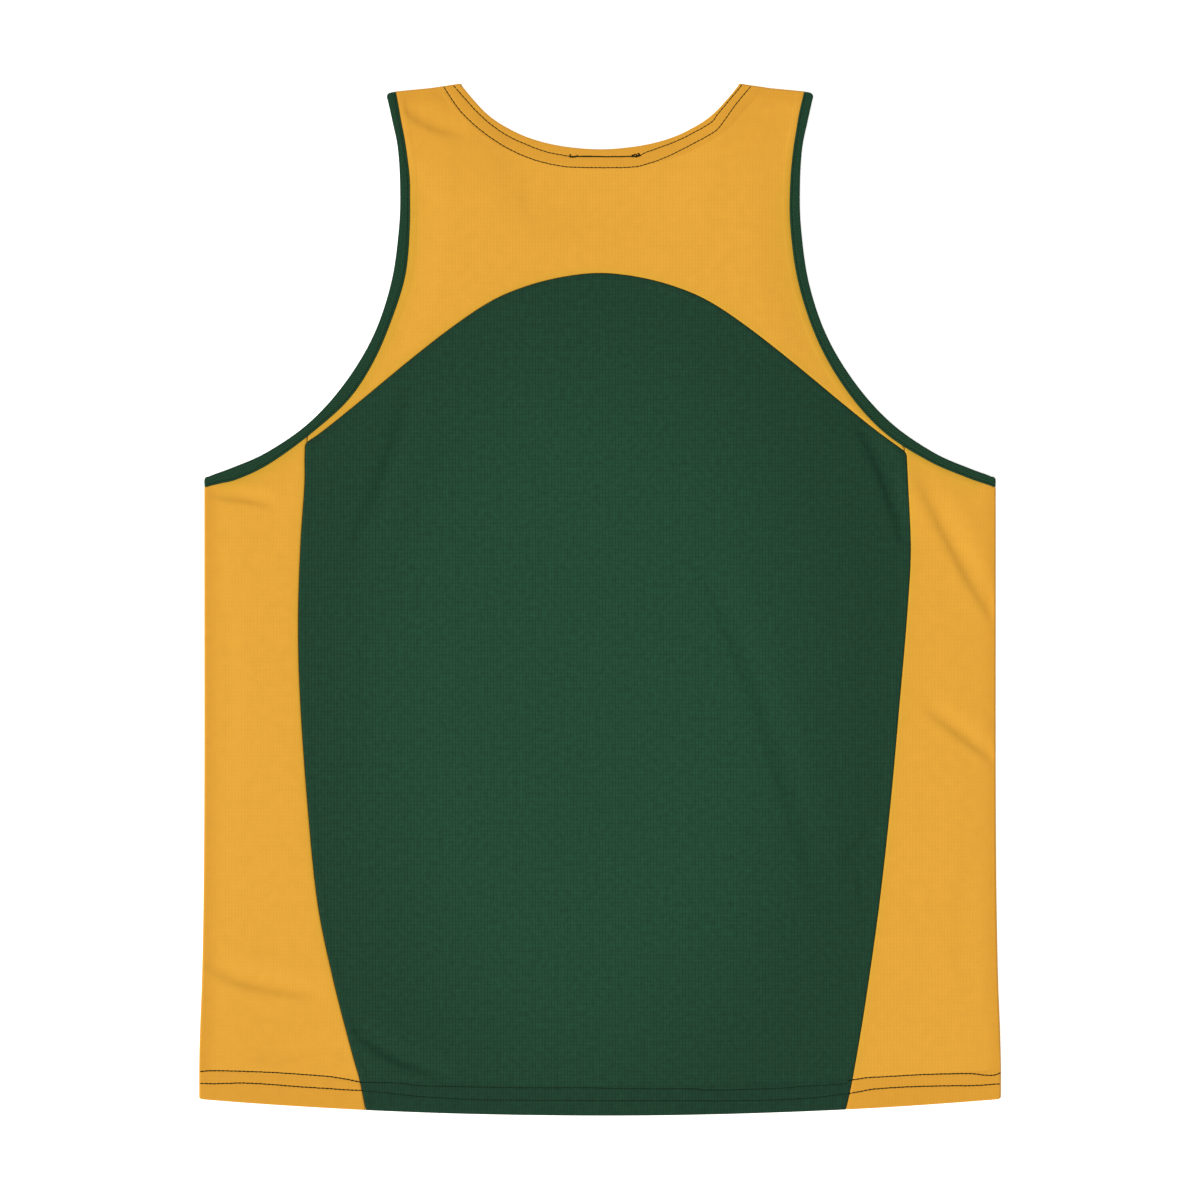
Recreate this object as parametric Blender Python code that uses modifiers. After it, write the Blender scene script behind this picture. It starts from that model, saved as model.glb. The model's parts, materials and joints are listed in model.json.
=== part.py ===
"""Athletic singlet, men's size L, laid flat with its back up and built as it is cut and sewn.

Frame: metres, +Z up, +Y towards the neck, +X to the right of somebody looking at the back.
The origin is the middle of the garment's box, on the surface that it lies on.
Sizes and tables below are millimetres, and MM turns them to metres as each mesh is made.

Two layers of knit lie on each other. The back layer is a yoke that runs up into both straps,
a centre panel with an arched top, and two side panels. The front layer is one plain piece
with a lower neck. The yoke turns over at the shoulders and the side panels at the sides, and
both meet the front just behind the fold. A folded binding goes all round each armhole: a
closed ring that turns over with the cloth at the shoulder and at the underarm.
"""

from collections import namedtuple

import bmesh
import bpy
import numpy as np
from mathutils import Vector, geometry

MM = 0.001

# The cloth and how it is put together
WALL = 1.2  # one layer of knit
SEAM_GAP = 0.3  # left between two pieces at a seam
BINDING_THICK = 1.5  # the strip is folded round the raw edge
TURN_RADIUS = 0.9  # of the middle of a wall that turns over at a fold
TURN_STEPS = 5
TURN_RUN = 3.0  # from the fold on, below, to the seam with the front
FRONT_LEVEL = WALL / 2  # middle of the front's wall, its underside being at 0
BACK_LEVEL = FRONT_LEVEL + 2 * TURN_RADIUS  # middle of the back's wall beside a fold
BINDING_LEVEL = BINDING_THICK / 2 + TURN_RADIUS  # middle of the ring between its two runs

# Overall sizes
HEM_HALF = 288.8  # half the width at the hem
HEM_LOW = -371.2  # the hem's lowest point, at the middle
HEM_RISE = 11.8  # from there up to its corners
FRONT_ARMHOLE_DEEPER = 12.0  # the front is cut this much further in than the back

# How far the back layer stands up over the front
DOME = 2.2  # at the middle of the back
DOME_HALF_WIDTH = 300.0
DOME_MIDDLE = -20.0
DOME_HALF_HEIGHT = 420.0
RIM_FADE = 30.0  # the layers close up over this distance to a side, armhole or shoulder
SCOOP_SAG = 1.4  # the yoke sinks where the front's neck leaves nothing under it
SCOOP_FADE = 35.0

# Spacing of the points that the surfaces are made of
EDGE_STEP = 9.0
SEAM_STEP = 16.0
BACK_GRID = 22.0
FRONT_GRID = 60.0
EDGE_CLEAR = 8.0  # from an outline to the nearest point inside it
CREASE_STEP = 11.0
CREASE_POINTS = 24  # on the line that a point's distance to a crease is taken from
CREASE_ROWS = (-1.3, -0.65, 0.0, 0.65, 1.3)  # rows of points along a crease, in its widths
CREASE_CLEAR = 1.9  # widths from a crease to the plain grid

# Each outline row is the distance from the middle line and the height up the garment.
Row = namedtuple("Row", "out up")

BACK_NECK = [
    Row(0.0, 324.6),
    Row(27.4, 326.9),
    Row(50.4, 332.6),
    Row(69.0, 341.3),
    Row(81.4, 350.0),
    Row(92.2, 361.4),
    Row(100.8, 372.0),
]
FRONT_NECK = [
    Row(0.0, 247.0),
    Row(30.0, 250.0),
    Row(55.0, 260.5),
    Row(73.0, 279.0),
    Row(84.0, 303.0),
    Row(91.0, 330.0),
    Row(97.0, 354.0),
    Row(100.8, 372.0),
]
SHOULDER = [Row(100.8, 372.0), Row(122.4, 368.8), Row(154.0, 364.9)]
ARMHOLE = [
    Row(154.0, 364.9),
    Row(149.6, 345.0),
    Row(145.6, 325.0),
    Row(144.0, 298.0),
    Row(144.8, 268.0),
    Row(150.4, 228.5),
    Row(163.4, 190.0),
    Row(184.3, 155.5),
    Row(210.0, 127.2),
    Row(240.0, 106.4),
    Row(265.7, 95.0),
    Row(285.1, 88.2),
]
SIDE = [
    Row(285.1, 88.2),
    Row(285.1, 0.0),
    Row(285.1, -130.0),
    Row(285.6, -210.0),
    Row(286.7, -270.0),
    Row(288.2, -310.0),
    Row(288.8, -335.0),
    Row(HEM_HALF, HEM_LOW + HEM_RISE),
]
ARCH = [
    Row(0.0, 235.4),
    Row(26.0, 232.8),
    Row(52.0, 226.3),
    Row(76.7, 216.0),
    Row(103.3, 198.7),
    Row(136.8, 172.8),
    Row(178.6, 138.2),
    Row(200.2, 121.0),
]
LEFT_SEAM = [
    Row(212.6, 112.3),
    Row(213.0, 82.0),
    Row(216.0, 36.0),
    Row(217.5, -18.0),
    Row(216.0, -72.0),
    Row(211.0, -144.0),
    Row(203.8, -216.0),
    Row(193.0, -270.0),
    Row(179.3, -324.0),
    Row(173.2, -346.0),
    Row(169.0, -367.2),
]
RIGHT_SEAM = [
    Row(220.3, 106.0),
    Row(221.3, 82.0),
    Row(223.2, 36.0),
    Row(220.6, -10.0),
    Row(215.3, -72.0),
    Row(208.8, -144.0),
    Row(200.9, -216.0),
    Row(190.8, -288.0),
    Row(181.8, -342.0),
    Row(176.6, -366.8),
]

# A binding's width at distances along its armhole from the shoulder. The strips were run on by
# eye. All are as wide at both ends, where the back's and the front's are one strip.
Width = namedtuple("Width", "along wide")

LEFT_WIDTHS = [
    Width(0.0, 7.0),
    Width(36.0, 5.8),
    Width(64.0, 7.0),
    Width(84.0, 7.1),
    Width(128.0, 8.8),
    Width(168.0, 7.8),
    Width(220.0, 9.5),
    Width(262.0, 6.8),
    Width(316.0, 9.1),
    Width(332.0, 7.8),
    Width(344.0, 6.8),
]
RIGHT_WIDTHS = [
    Width(0.0, 7.0),
    Width(18.0, 7.1),
    Width(38.0, 6.2),
    Width(70.0, 7.1),
    Width(106.0, 7.6),
    Width(165.0, 7.2),
    Width(213.0, 8.0),
    Width(255.0, 8.4),
    Width(298.0, 7.0),
    Width(344.0, 6.8),
]
FRONT_WIDTHS = [Width(0.0, 7.0), Width(170.0, 7.4), Width(344.0, 6.8)]

# Each crease runs from one point by a second to a third. A positive depth is a trough.
Crease = namedtuple("Crease", "from_x from_y by_x by_y to_x to_y depth width")

CREASES = [
    Crease(62.0, 36.0, 113.0, -79.0, 157.0, -232.0, 1.5, 10.0),
    Crease(-136.0, 158.0, -155.0, 98.0, -184.0, 27.0, 1.1, 10.0),
    Crease(182.0, 130.0, 203.0, 84.0, 217.0, 36.0, 1.0, 8.0),
    Crease(227.0, 89.0, 253.0, 38.0, 284.0, -12.0, 1.1, 8.0),
    Crease(229.0, -74.0, 260.0, -97.0, 284.0, -116.0, 1.0, 7.0),
    Crease(-282.0, 73.0, -258.0, 71.0, -234.0, 66.0, 0.8, 7.0),
    Crease(-285.0, -262.0, -250.0, -277.0, -198.0, -284.0, 1.1, 8.0),
    Crease(-246.0, -336.0, -218.0, -329.0, -190.0, -321.0, 0.7, 9.0),
    Crease(-180.0, -304.0, -152.0, -328.0, -110.0, -343.0, 0.9, 9.0),
    Crease(-140.0, 354.0, -123.0, 341.0, -98.0, 335.5, 0.8, 7.0),
    Crease(92.0, 330.0, 114.0, 341.0, 137.0, 353.0, 0.6, 8.0),
]

# What an outline's stretch is, and how far the cloth stays inside it
FREE, SEAM, FOLD, MEETS = range(4)
INSET = {
    FREE: 0.0,
    SEAM: SEAM_GAP / 2,
    FOLD: TURN_RADIUS + WALL / 2,
    MEETS: TURN_RADIUS + WALL / 2 + TURN_RUN + SEAM_GAP,
}
Stretch = namedtuple("Stretch", "points kind")
FILL_INSIDE = 1  # keep the triangles inside the outline
SAME_POINT = 0.001
STRAIGHT = 0.02  # the sine of a turn that is too slight to be a corner
MIN_SLANT = 0.3  # of a fold's end against the fold, at most 73 degrees off square

# The folded strip's section: the share of its width from the outer edge, and of its thickness
BINDING_SECTION = [
    (0.0, -0.2),
    (0.0, 0.2),
    (0.07, 0.5),
    (0.93, 0.5),
    (1.0, 0.2),
    (1.0, -0.2),
    (0.93, -0.5),
    (0.07, -0.5),
]

GOLD = (0.791, 0.386, 0.047)
GREEN = (0.019, 0.065, 0.037)
KNIT_ROUGHNESS = 0.85
SHARP_ANGLE = np.radians(50)


# Curves


def smooth_curve(rows, step):
    """Points about one step apart on a Catmull-Rom curve through the rows."""
    knots = np.array(rows, dtype=float)
    before = 2 * knots[0] - knots[1]
    after = 2 * knots[-1] - knots[-2]
    padded = np.vstack((before, knots, after))
    points = []
    for a, b, c, d in zip(padded, padded[1:], padded[2:], padded[3:]):
        count = max(1, round(np.linalg.norm(c - b) / step))
        for t in np.arange(count) / count:
            cubic = (3 * b - a - 3 * c + d) * t**3
            square = (2 * a - 5 * b + 4 * c - d) * t**2
            points.append((2 * b + (c - a) * t + square + cubic) / 2)
    points.append(knots[-1])
    return np.array(points)


def mirrored(points):
    """The points on the other side of the middle line."""
    return np.array(points) * (-1, 1)


def across_middle(rows, step, left_end=(), right_end=()):
    """A curve from left to right whose two halves share the rows, each with its own end."""
    left = [Row(-row.out, row.up) for row in reversed(list(rows[1:]) + list(left_end))]
    return smooth_curve(left + list(rows) + list(right_end), step)


def unit(vectors):
    return vectors / np.linalg.norm(vectors, axis=-1, keepdims=True)


def left_normals(path):
    """At each point of a path, the unit vector to the left of its direction."""
    along = unit(np.gradient(path, axis=0))
    return np.stack((-along[:, 1], along[:, 0]), axis=1)


def nearest_on_path(points, path):
    """Each point's distance to a path, and the share of the path's length where it is nearest."""
    start, step = path[:-1], np.diff(path, axis=0)
    lengths = np.linalg.norm(step, axis=1)
    offset = points[:, None, :] - start
    share = np.clip((offset * step).sum(axis=2) / lengths**2, 0, 1)
    distance = np.linalg.norm(offset - share[:, :, None] * step, axis=2)
    best = distance.argmin(axis=1)
    row = np.arange(len(points))
    before = np.concatenate(([0], np.cumsum(lengths)))
    along = (before[best] + share[row, best] * lengths[best]) / before[-1]
    return distance[row, best], along


def smoothstep(value):
    share = np.clip(value, 0, 1)
    return share * share * (3 - 2 * share)


def hem_up(x):
    """Height of the curved hem at a distance from the middle line."""
    return HEM_LOW + HEM_RISE * (x / HEM_HALF) ** 2


def hem_curve(left, right):
    x = np.linspace(left, right, max(2, round((right - left) / SEAM_STEP)))
    return np.stack((x, hem_up(x)), axis=1)


def reached(path):
    """The length of a path up to each of its points."""
    return np.concatenate(([0], np.cumsum(np.linalg.norm(np.diff(path, axis=0), axis=1))))


def armhole_edges(deeper, widths):
    """An armhole's outer edge and its binding's inner edge, from shoulder to underarm."""
    outer = smooth_curve(ARMHOLE, EDGE_STEP)
    share = np.linspace(0, 1, len(outer))[:, None]
    outer = outer - left_normals(outer) * deeper * np.sin(np.pi * share) ** 2
    along, wide = smooth_curve(widths, EDGE_STEP).T
    inner = outer - left_normals(outer) * np.interp(reached(outer), along, wide)[:, None]
    slope = (inner[-1] - inner[-2]) / (inner[-1] - inner[-2])[0]
    inner[-1] += slope * (outer[-1] - inner[-1])[0]
    return outer, inner


def split_near(path, point):
    """A path's two parts, cut where it passes closest to a point."""
    before = reached(path)
    at = nearest_on_path(np.array([point]), path)[1][0] * before[-1]
    cut = [np.interp(at, before, path[:, axis]) for axis in (0, 1)]
    clear = EDGE_STEP / 4
    return (
        np.vstack((path[before < at - clear], cut)),
        np.vstack((cut, path[before > at + clear])),
    )


# Surfaces

# Both armholes are drawn as the right one. A side is 1 for the right and -1 for the left.
BACK_OUTER, RIGHT_INNER = armhole_edges(0, RIGHT_WIDTHS)
BACK_INNER = {1: RIGHT_INNER, -1: armhole_edges(0, LEFT_WIDTHS)[1]}
FRONT_OUTER, FRONT_INNER = armhole_edges(FRONT_ARMHOLE_DEEPER, FRONT_WIDTHS)
RIM = np.vstack((smooth_curve(SHOULDER, EDGE_STEP), RIGHT_INNER, smooth_curve(SIDE, SEAM_STEP)))
SCOOP = across_middle(FRONT_NECK, EDGE_STEP)


def crease_path(crease, count):
    """Points on the parabola through a crease's three points."""
    t = np.linspace(0, 1, count)[:, None]
    start, by, end = np.array(crease[:6]).reshape(3, 2)
    return start * (1 - t) * (1 - 2 * t) + by * 4 * t * (1 - t) + end * t * (2 * t - 1)


def crease_height(points, crease):
    """A soft trough with a low ridge along each side, which runs out at its ends."""
    distance, along = nearest_on_path(points, crease_path(crease, CREASE_POINTS))
    reach = (distance / crease.width) ** 2
    return -crease.depth * (1 - reach) * np.exp(-reach) * np.sin(np.pi * along) ** 0.7


def inside(points, outline):
    """Which points lie inside a closed outline, by the crossings of a ray."""
    start, end = outline, np.roll(outline, -1, axis=0)
    x, y = points[:, :1], points[:, 1:]
    rising = end[:, 1] > start[:, 1]
    spans = (start[:, 1] > y) != (end[:, 1] > y)
    run, rise = (end - start).T
    left_of = (x - start[:, 0]) * rise < (y - start[:, 1]) * run
    return (spans & (left_of == rising)).sum(axis=1) % 2 == 1


def back_height(points):
    """Height of the middle of the back layer's wall."""
    one_side = np.stack((np.abs(points[:, 0]), points[:, 1]), axis=1)
    fade = smoothstep(nearest_on_path(one_side, RIM)[0] / RIM_FADE)
    dome_x = 1 - (points[:, 0] / DOME_HALF_WIDTH) ** 4
    dome_y = 1 - ((points[:, 1] - DOME_MIDDLE) / DOME_HALF_HEIGHT) ** 4
    rise = DOME * dome_x * dome_y
    for crease in CREASES:
        rise = rise + crease_height(points, crease)
    deep = nearest_on_path(points, SCOOP)[0] * inside(points, SCOOP)
    return BACK_LEVEL + fade * rise - SCOOP_SAG * smoothstep(deep / SCOOP_FADE)


def front_height(points):
    """The front lies flat on its outside."""
    return np.full(len(points), FRONT_LEVEL)


# How a layer lies, how far apart its points are, and the creases that need more of them
Layer = namedtuple("Layer", "height grid creases")
BACK = Layer(back_height, BACK_GRID, CREASES)
FRONT = Layer(front_height, FRONT_GRID, ())


# Outlines


def close_outline(stretches):
    """The corners of a closed outline, anticlockwise, and the kind of the edge after each."""
    corners, kinds = [], []
    for stretch in stretches:
        points = list(stretch.points)
        if corners and np.linalg.norm(points[0] - corners[-1]) < SEAM_GAP:
            points = points[1:]
            kinds = kinds[:-1] + [stretch.kind]
        corners += points
        kinds += [stretch.kind] * len(points)
    if np.linalg.norm(corners[0] - corners[-1]) < SEAM_GAP:
        corners, kinds = corners[:-1], kinds[:-1]
    corners, kinds = np.array(corners), np.array(kinds)
    x, y = corners.T
    if (x * np.roll(y, -1) - np.roll(x, -1) * y).sum() < 0:
        corners, kinds = corners[::-1], np.roll(kinds[::-1], -1)
    return corners, kinds


def inset_outline(corners, kinds):
    """Each edge moved in by what its kind asks, and the corners where the moved edges meet."""
    edges = unit(np.roll(corners, -1, axis=0) - corners)
    inward = np.stack((-edges[:, 1], edges[:, 0]), axis=1)
    depth = np.array([INSET[kind] for kind in kinds])
    moved = []
    for i, corner in enumerate(corners):
        before, after = inward[i - 1], inward[i]
        turn = before[0] * after[1] - before[1] * after[0]
        if abs(turn) < STRAIGHT:
            moved.append(corner + after * depth[i])
            continue
        x = (depth[i - 1] * after[1] - depth[i] * before[1]) / turn
        y = (before[0] * depth[i] - after[0] * depth[i - 1]) / turn
        moved.append(corner + (x, y))
    return np.array(moved)


def fold_runs(kinds):
    """The corners along each fold of a closed outline, in order."""
    count = len(kinds)
    starts = [i for i in range(count) if kinds[i] == FOLD and kinds[i - 1] != FOLD]
    runs = []
    for start in starts:
        run = [start]
        while kinds[run[-1]] == FOLD:
            run.append((run[-1] + 1) % count)
        runs.append(run)
    return runs


def grid_points(outline, layer):
    """A grid inside an outline, with rows of closer points along each of the layer's creases."""
    low, high = outline.min(axis=0), outline.max(axis=0)
    x, y = (np.arange(a - layer.grid / 3, b, layer.grid) for a, b in zip(low, high))
    grid = np.stack(np.meshgrid(x, y), axis=-1).reshape(-1, 2)
    rows = []
    for crease in layer.creases:
        chord = np.hypot(crease.to_x - crease.from_x, crease.to_y - crease.from_y)
        path = crease_path(crease, round(chord / CREASE_STEP))
        grid = grid[nearest_on_path(grid, path)[0] > crease.width * CREASE_CLEAR]
        sides = left_normals(path) * crease.width
        rows += [path + sides * share for share in CREASE_ROWS]
    points = np.vstack([grid] + rows)
    points = points[inside(points, outline)]
    ring = np.vstack((outline, outline[:1]))
    return points[nearest_on_path(points, ring)[0] > EDGE_CLEAR]


# Meshes


def add_turned_edge(mesh, corners, run, verts):
    """Carry a sheet on round a half turn at a fold and a little way back below it."""
    line = corners[run]
    out = -left_normals(line)
    back = -out * TURN_RUN
    for end, beside in ((0, corners[run[0] - 1]), (-1, corners[(run[-1] + 1) % len(corners)])):
        along = unit(beside - line[end])
        back[end] = along * TURN_RUN / max(MIN_SLANT, abs(along @ out[end]))
    rows = [[verts[i] for i in run]]
    angles = np.linspace(0, np.pi, TURN_STEPS + 1)[1:]
    places = [(out * TURN_RADIUS * np.sin(a), TURN_RADIUS * (1 + np.cos(a))) for a in angles]
    places.append((back, 0.0))
    for shift, height in places:
        level = FRONT_LEVEL + height
        rows.append([mesh.verts.new((x * MM, y * MM, level * MM)) for x, y in line + shift])
    for near, far in zip(rows, rows[1:]):
        for i in range(len(run) - 1):
            mesh.faces.new((near[i], far[i], far[i + 1], near[i + 1]))


def sheet_mesh(name, stretches, layer):
    """The middle surface of a panel: its outline filled with triangles and set to its height."""
    corners, kinds = close_outline(stretches)
    corners = inset_outline(corners, kinds)
    flat = [Vector(point) for point in np.vstack((corners, grid_points(corners, layer)))]
    ring = list(range(len(corners)))
    filled = geometry.delaunay_2d_cdt(flat, [], [ring], FILL_INSIDE, SAME_POINT)
    points, _, faces, sources = filled[:4]
    levels = layer.height(np.array([tuple(point) for point in points]))
    mesh = bmesh.new()
    verts = [mesh.verts.new((p.x * MM, p.y * MM, z * MM)) for p, z in zip(points, levels)]
    for face in faces:
        mesh.faces.new([verts[i] for i in face])
    at_corner = {corner: vert for vert, found in zip(verts, sources) for corner in found}
    for run in fold_runs(kinds):
        add_turned_edge(mesh, corners, run, at_corner)
    bmesh.ops.recalc_face_normals(mesh, faces=mesh.faces)
    return finished(mesh, name)


def finished(mesh, name):
    data = bpy.data.meshes.new(name)
    mesh.to_mesh(data)
    mesh.free()
    data.shade_smooth()
    data.set_sharp_from_angle(angle=SHARP_ANGLE)
    return data


def drawn_in(edge, up_out, side_out):
    """An armhole edge whose two ends stop, along its own line, where the strip turns over."""
    edge = edge.copy()
    reach = TURN_RADIUS + BINDING_THICK / 2
    for end, beside, out in ((0, 1, up_out), (-1, -2, side_out)):
        along = unit(edge[end] - edge[beside])
        edge[end] -= along * reach / (along @ out)
    return edge


def binding_stations(side):
    """Round the ring: outer and inner edge, the way it turns over, and how far it has turned."""
    turn = np.linspace(0, np.pi, TURN_STEPS + 1)
    up_out, side_out = left_normals(np.array(SHOULDER[1:]))[0], np.array((1.0, 0.0))
    edges = (BACK_OUTER, BACK_INNER[side], FRONT_OUTER, FRONT_INNER)
    back_out, back_in, front_out, front_in = (drawn_in(edge, up_out, side_out) for edge in edges)
    stations = [(o, i, side_out, 0.0) for o, i in zip(back_out, back_in)]
    stations += [(back_out[-1], back_in[-1], side_out, angle) for angle in turn[1:-1]]
    stations += [(o, i, side_out, np.pi) for o, i in zip(front_out[::-1], front_in[::-1])]
    stations += [(back_out[0], back_in[0], up_out, angle) for angle in turn[-2:0:-1]]
    return stations


def binding_mesh(name, side):
    """The folded strip round one armhole."""
    mesh = bmesh.new()
    rings = []
    for outer, inner, out, angle in binding_stations(side):
        inner = inner + unit(outer - inner) * SEAM_GAP / 2
        ring = []
        for across, up in BINDING_SECTION:
            radius = TURN_RADIUS + up * BINDING_THICK
            x, y = outer + (inner - outer) * across + out * radius * np.sin(angle)
            z = BINDING_LEVEL + radius * np.cos(angle)
            ring.append(mesh.verts.new((side * x * MM, y * MM, z * MM)))
        rings.append(ring)
    for near, far in zip(rings, rings[1:] + rings[:1]):
        for i in range(len(near)):
            mesh.faces.new((near[i - 1], near[i], far[i], far[i - 1]))
    bmesh.ops.recalc_face_normals(mesh, faces=mesh.faces)
    return finished(mesh, name)


# Pieces


def add_piece(collection, name, data, material, wall):
    """Put a mesh in the scene, with the wall's thickness on both sides of an open sheet."""
    piece = bpy.data.objects.new(name, data)
    collection.objects.link(piece)
    data.materials.append(material)
    if wall:
        solidify = piece.modifiers.new("Wall", "SOLIDIFY")
        solidify.thickness = wall * MM
        solidify.offset = 0
    return piece


def knit_material(name, colour):
    material = bpy.data.materials.new(name)
    material.use_nodes = True
    shader = material.node_tree.nodes["Principled BSDF"]
    shader.inputs["Base Color"].default_value = (*colour, 1)
    shader.inputs["Roughness"].default_value = KNIT_ROUGHNESS
    shader.inputs["Metallic"].default_value = 0
    return material


def back_yoke():
    """The yoke: neck, shoulder and armhole on each side, and the arch below."""
    right_in, _ = split_near(BACK_INNER[1], RIGHT_SEAM[0])
    left_in, _ = split_near(BACK_INNER[-1], LEFT_SEAM[0])
    shoulder = np.array([SHOULDER[0], SHOULDER[1], right_in[0]])
    arch = across_middle(ARCH, EDGE_STEP, LEFT_SEAM[:1], RIGHT_SEAM[:1])
    return [
        Stretch(across_middle(BACK_NECK, EDGE_STEP), FREE),
        Stretch(shoulder, FOLD),
        Stretch(right_in, SEAM),
        Stretch(arch[::-1], SEAM),
        Stretch(mirrored(left_in[::-1]), SEAM),
        Stretch(mirrored(shoulder[::-1]), FOLD),
    ]


def back_centre_panel():
    """The centre panel: hem, right seam, arch and left seam."""
    left, right = smooth_curve(LEFT_SEAM, SEAM_STEP), smooth_curve(RIGHT_SEAM, SEAM_STEP)
    arch = across_middle(ARCH, EDGE_STEP, LEFT_SEAM[:1], RIGHT_SEAM[:1])
    return [
        Stretch(hem_curve(-left[-1][0], right[-1][0]), FREE),
        Stretch(right[::-1], SEAM),
        Stretch(arch[::-1], SEAM),
        Stretch(mirrored(left), SEAM),
    ]


def side_edge(top):
    """The side's edge from a point at the underarm down to the hem."""
    edge = smooth_curve(SIDE, SEAM_STEP)
    return np.vstack((top, edge[edge[:, 1] < top[1] - SEAM_STEP / 3]))


def side_panel(seam_rows, side):
    """A side panel: hem, side fold, armhole and the seam with the centre panel."""
    seam = smooth_curve(seam_rows, SEAM_STEP)
    _, inner = split_near(BACK_INNER[side], seam_rows[0])
    edge = side_edge(inner[-1])
    stretches = [
        Stretch(hem_curve(seam[-1][0], HEM_HALF), FREE),
        Stretch(edge[::-1], FOLD),
        Stretch(inner[::-1], SEAM),
        Stretch(seam, SEAM),
    ]
    return [Stretch(part.points * (side, 1), part.kind) for part in stretches]


def front_panel():
    """The front in one piece: the lower neck, both straps, armholes, sides and hem."""
    shoulder = np.array([SHOULDER[0], SHOULDER[1], FRONT_INNER[0]])
    edge = side_edge(FRONT_INNER[-1])
    return [
        Stretch(SCOOP, FREE),
        Stretch(shoulder, MEETS),
        Stretch(FRONT_INNER, SEAM),
        Stretch(edge, MEETS),
        Stretch(hem_curve(-HEM_HALF, HEM_HALF)[::-1], FREE),
        Stretch(mirrored(edge[::-1]), MEETS),
        Stretch(mirrored(FRONT_INNER[::-1]), SEAM),
        Stretch(mirrored(shoulder[::-1]), MEETS),
    ]


def main():
    for old in list(bpy.data.objects):
        bpy.data.objects.remove(old)
    collection = bpy.data.collections.new("athletic_singlet")
    bpy.context.scene.collection.children.link(collection)
    gold = knit_material("gold_knit", GOLD)
    green = knit_material("green_knit", GREEN)
    panels = (
        ("back_yoke", back_yoke(), BACK, gold),
        ("back_centre_panel", back_centre_panel(), BACK, green),
        ("side_panel_left", side_panel(LEFT_SEAM, -1), BACK, gold),
        ("side_panel_right", side_panel(RIGHT_SEAM, 1), BACK, gold),
        ("front_panel", front_panel(), FRONT, gold),
    )
    for name, stretches, layer, material in panels:
        add_piece(collection, name, sheet_mesh(name, stretches, layer), material, WALL)
    for name, side in (("armhole_binding_left", -1), ("armhole_binding_right", 1)):
        add_piece(collection, name, binding_mesh(name, side), green, 0)


main()
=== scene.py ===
"""Looks of the athletic singlet: fine cloth shells, folded bindings, stitching and studio.

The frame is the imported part's own: metres, +Z up, +Y towards the neck and +X to the right of
somebody looking at the back, which lies upward. Sizes and tables below are millimetres, and MM
turns them to metres as each mesh is made. The outlines are the part's own within half a
millimetre, drawn here with closer points. The dome and the large creases are its own too, but
fuller and deeper, so that they show. Finer relief, stitching and finishes are added.
"""

import json
import logging
from collections import Counter
from dataclasses import dataclass
from enum import Enum, auto
from typing import ClassVar, NamedTuple

import bmesh
import bpy
import numpy as np
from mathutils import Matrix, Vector, geometry, kdtree

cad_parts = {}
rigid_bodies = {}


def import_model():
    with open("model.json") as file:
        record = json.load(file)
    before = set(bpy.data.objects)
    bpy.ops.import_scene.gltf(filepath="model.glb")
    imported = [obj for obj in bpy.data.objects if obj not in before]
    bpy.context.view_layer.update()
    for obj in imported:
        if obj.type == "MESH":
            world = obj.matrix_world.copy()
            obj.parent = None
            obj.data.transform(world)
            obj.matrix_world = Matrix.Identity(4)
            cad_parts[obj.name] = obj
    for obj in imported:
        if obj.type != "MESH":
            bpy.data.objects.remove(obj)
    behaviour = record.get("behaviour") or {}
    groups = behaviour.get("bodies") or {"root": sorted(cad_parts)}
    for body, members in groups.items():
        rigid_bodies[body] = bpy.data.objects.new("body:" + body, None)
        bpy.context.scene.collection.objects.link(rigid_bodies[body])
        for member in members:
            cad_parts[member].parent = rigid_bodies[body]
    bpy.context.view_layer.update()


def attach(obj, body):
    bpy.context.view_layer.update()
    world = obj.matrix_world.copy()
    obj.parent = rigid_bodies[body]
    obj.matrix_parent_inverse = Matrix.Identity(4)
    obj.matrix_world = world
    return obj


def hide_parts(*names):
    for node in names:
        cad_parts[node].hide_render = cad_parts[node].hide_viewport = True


LOG = logging.getLogger("athletic_singlet")
MM = 0.001

# The cloth and how it is put together, as in the part's source but for the radius
WALL = 1.2
SEAM_GAP = 0.3
BINDING_THICK = 1.5
TURN_RADIUS = 1.2  # a little more than the part's, so that the creases have room
TURN_RUN = 3.0
FRONT_LEVEL = WALL / 2
BACK_LEVEL = FRONT_LEVEL + 2 * TURN_RADIUS
BINDING_LEVEL = BINDING_THICK / 2 + TURN_RADIUS
HEM_HALF = 288.8
HEM_LOW = -371.2
HEM_RISE = 11.8
FRONT_ARMHOLE_DEEPER = 12.0

# How far apart the points of curves are
FORM_STEP = 9.0  # on curves that a height is measured from
SIDE_STEP = 16.0
CLOTH_STEP = 2.0  # on the outline of a cloth
CURVE_STEP = 1.0  # on lines that stitching follows


class Row(NamedTuple):
    """A point of an outline: its distance from the middle line and its height."""

    out: float
    up: float


class Spot(NamedTuple):
    """A point anywhere on the garment."""

    x: float
    y: float


class Width(NamedTuple):
    """How wide an armhole's binding is at a length along it from the shoulder."""

    along: float
    wide: float


class Crease(NamedTuple):
    """A crease from one point by a second to a third. A positive depth is a trough."""

    start: tuple[float, float]
    by: tuple[float, float]
    end: tuple[float, float]
    depth: float
    width: float


def table(columns: type, *rows: tuple) -> tuple:
    """Name the columns of a table's rows."""
    return tuple(columns(*row) for row in rows)


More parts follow.
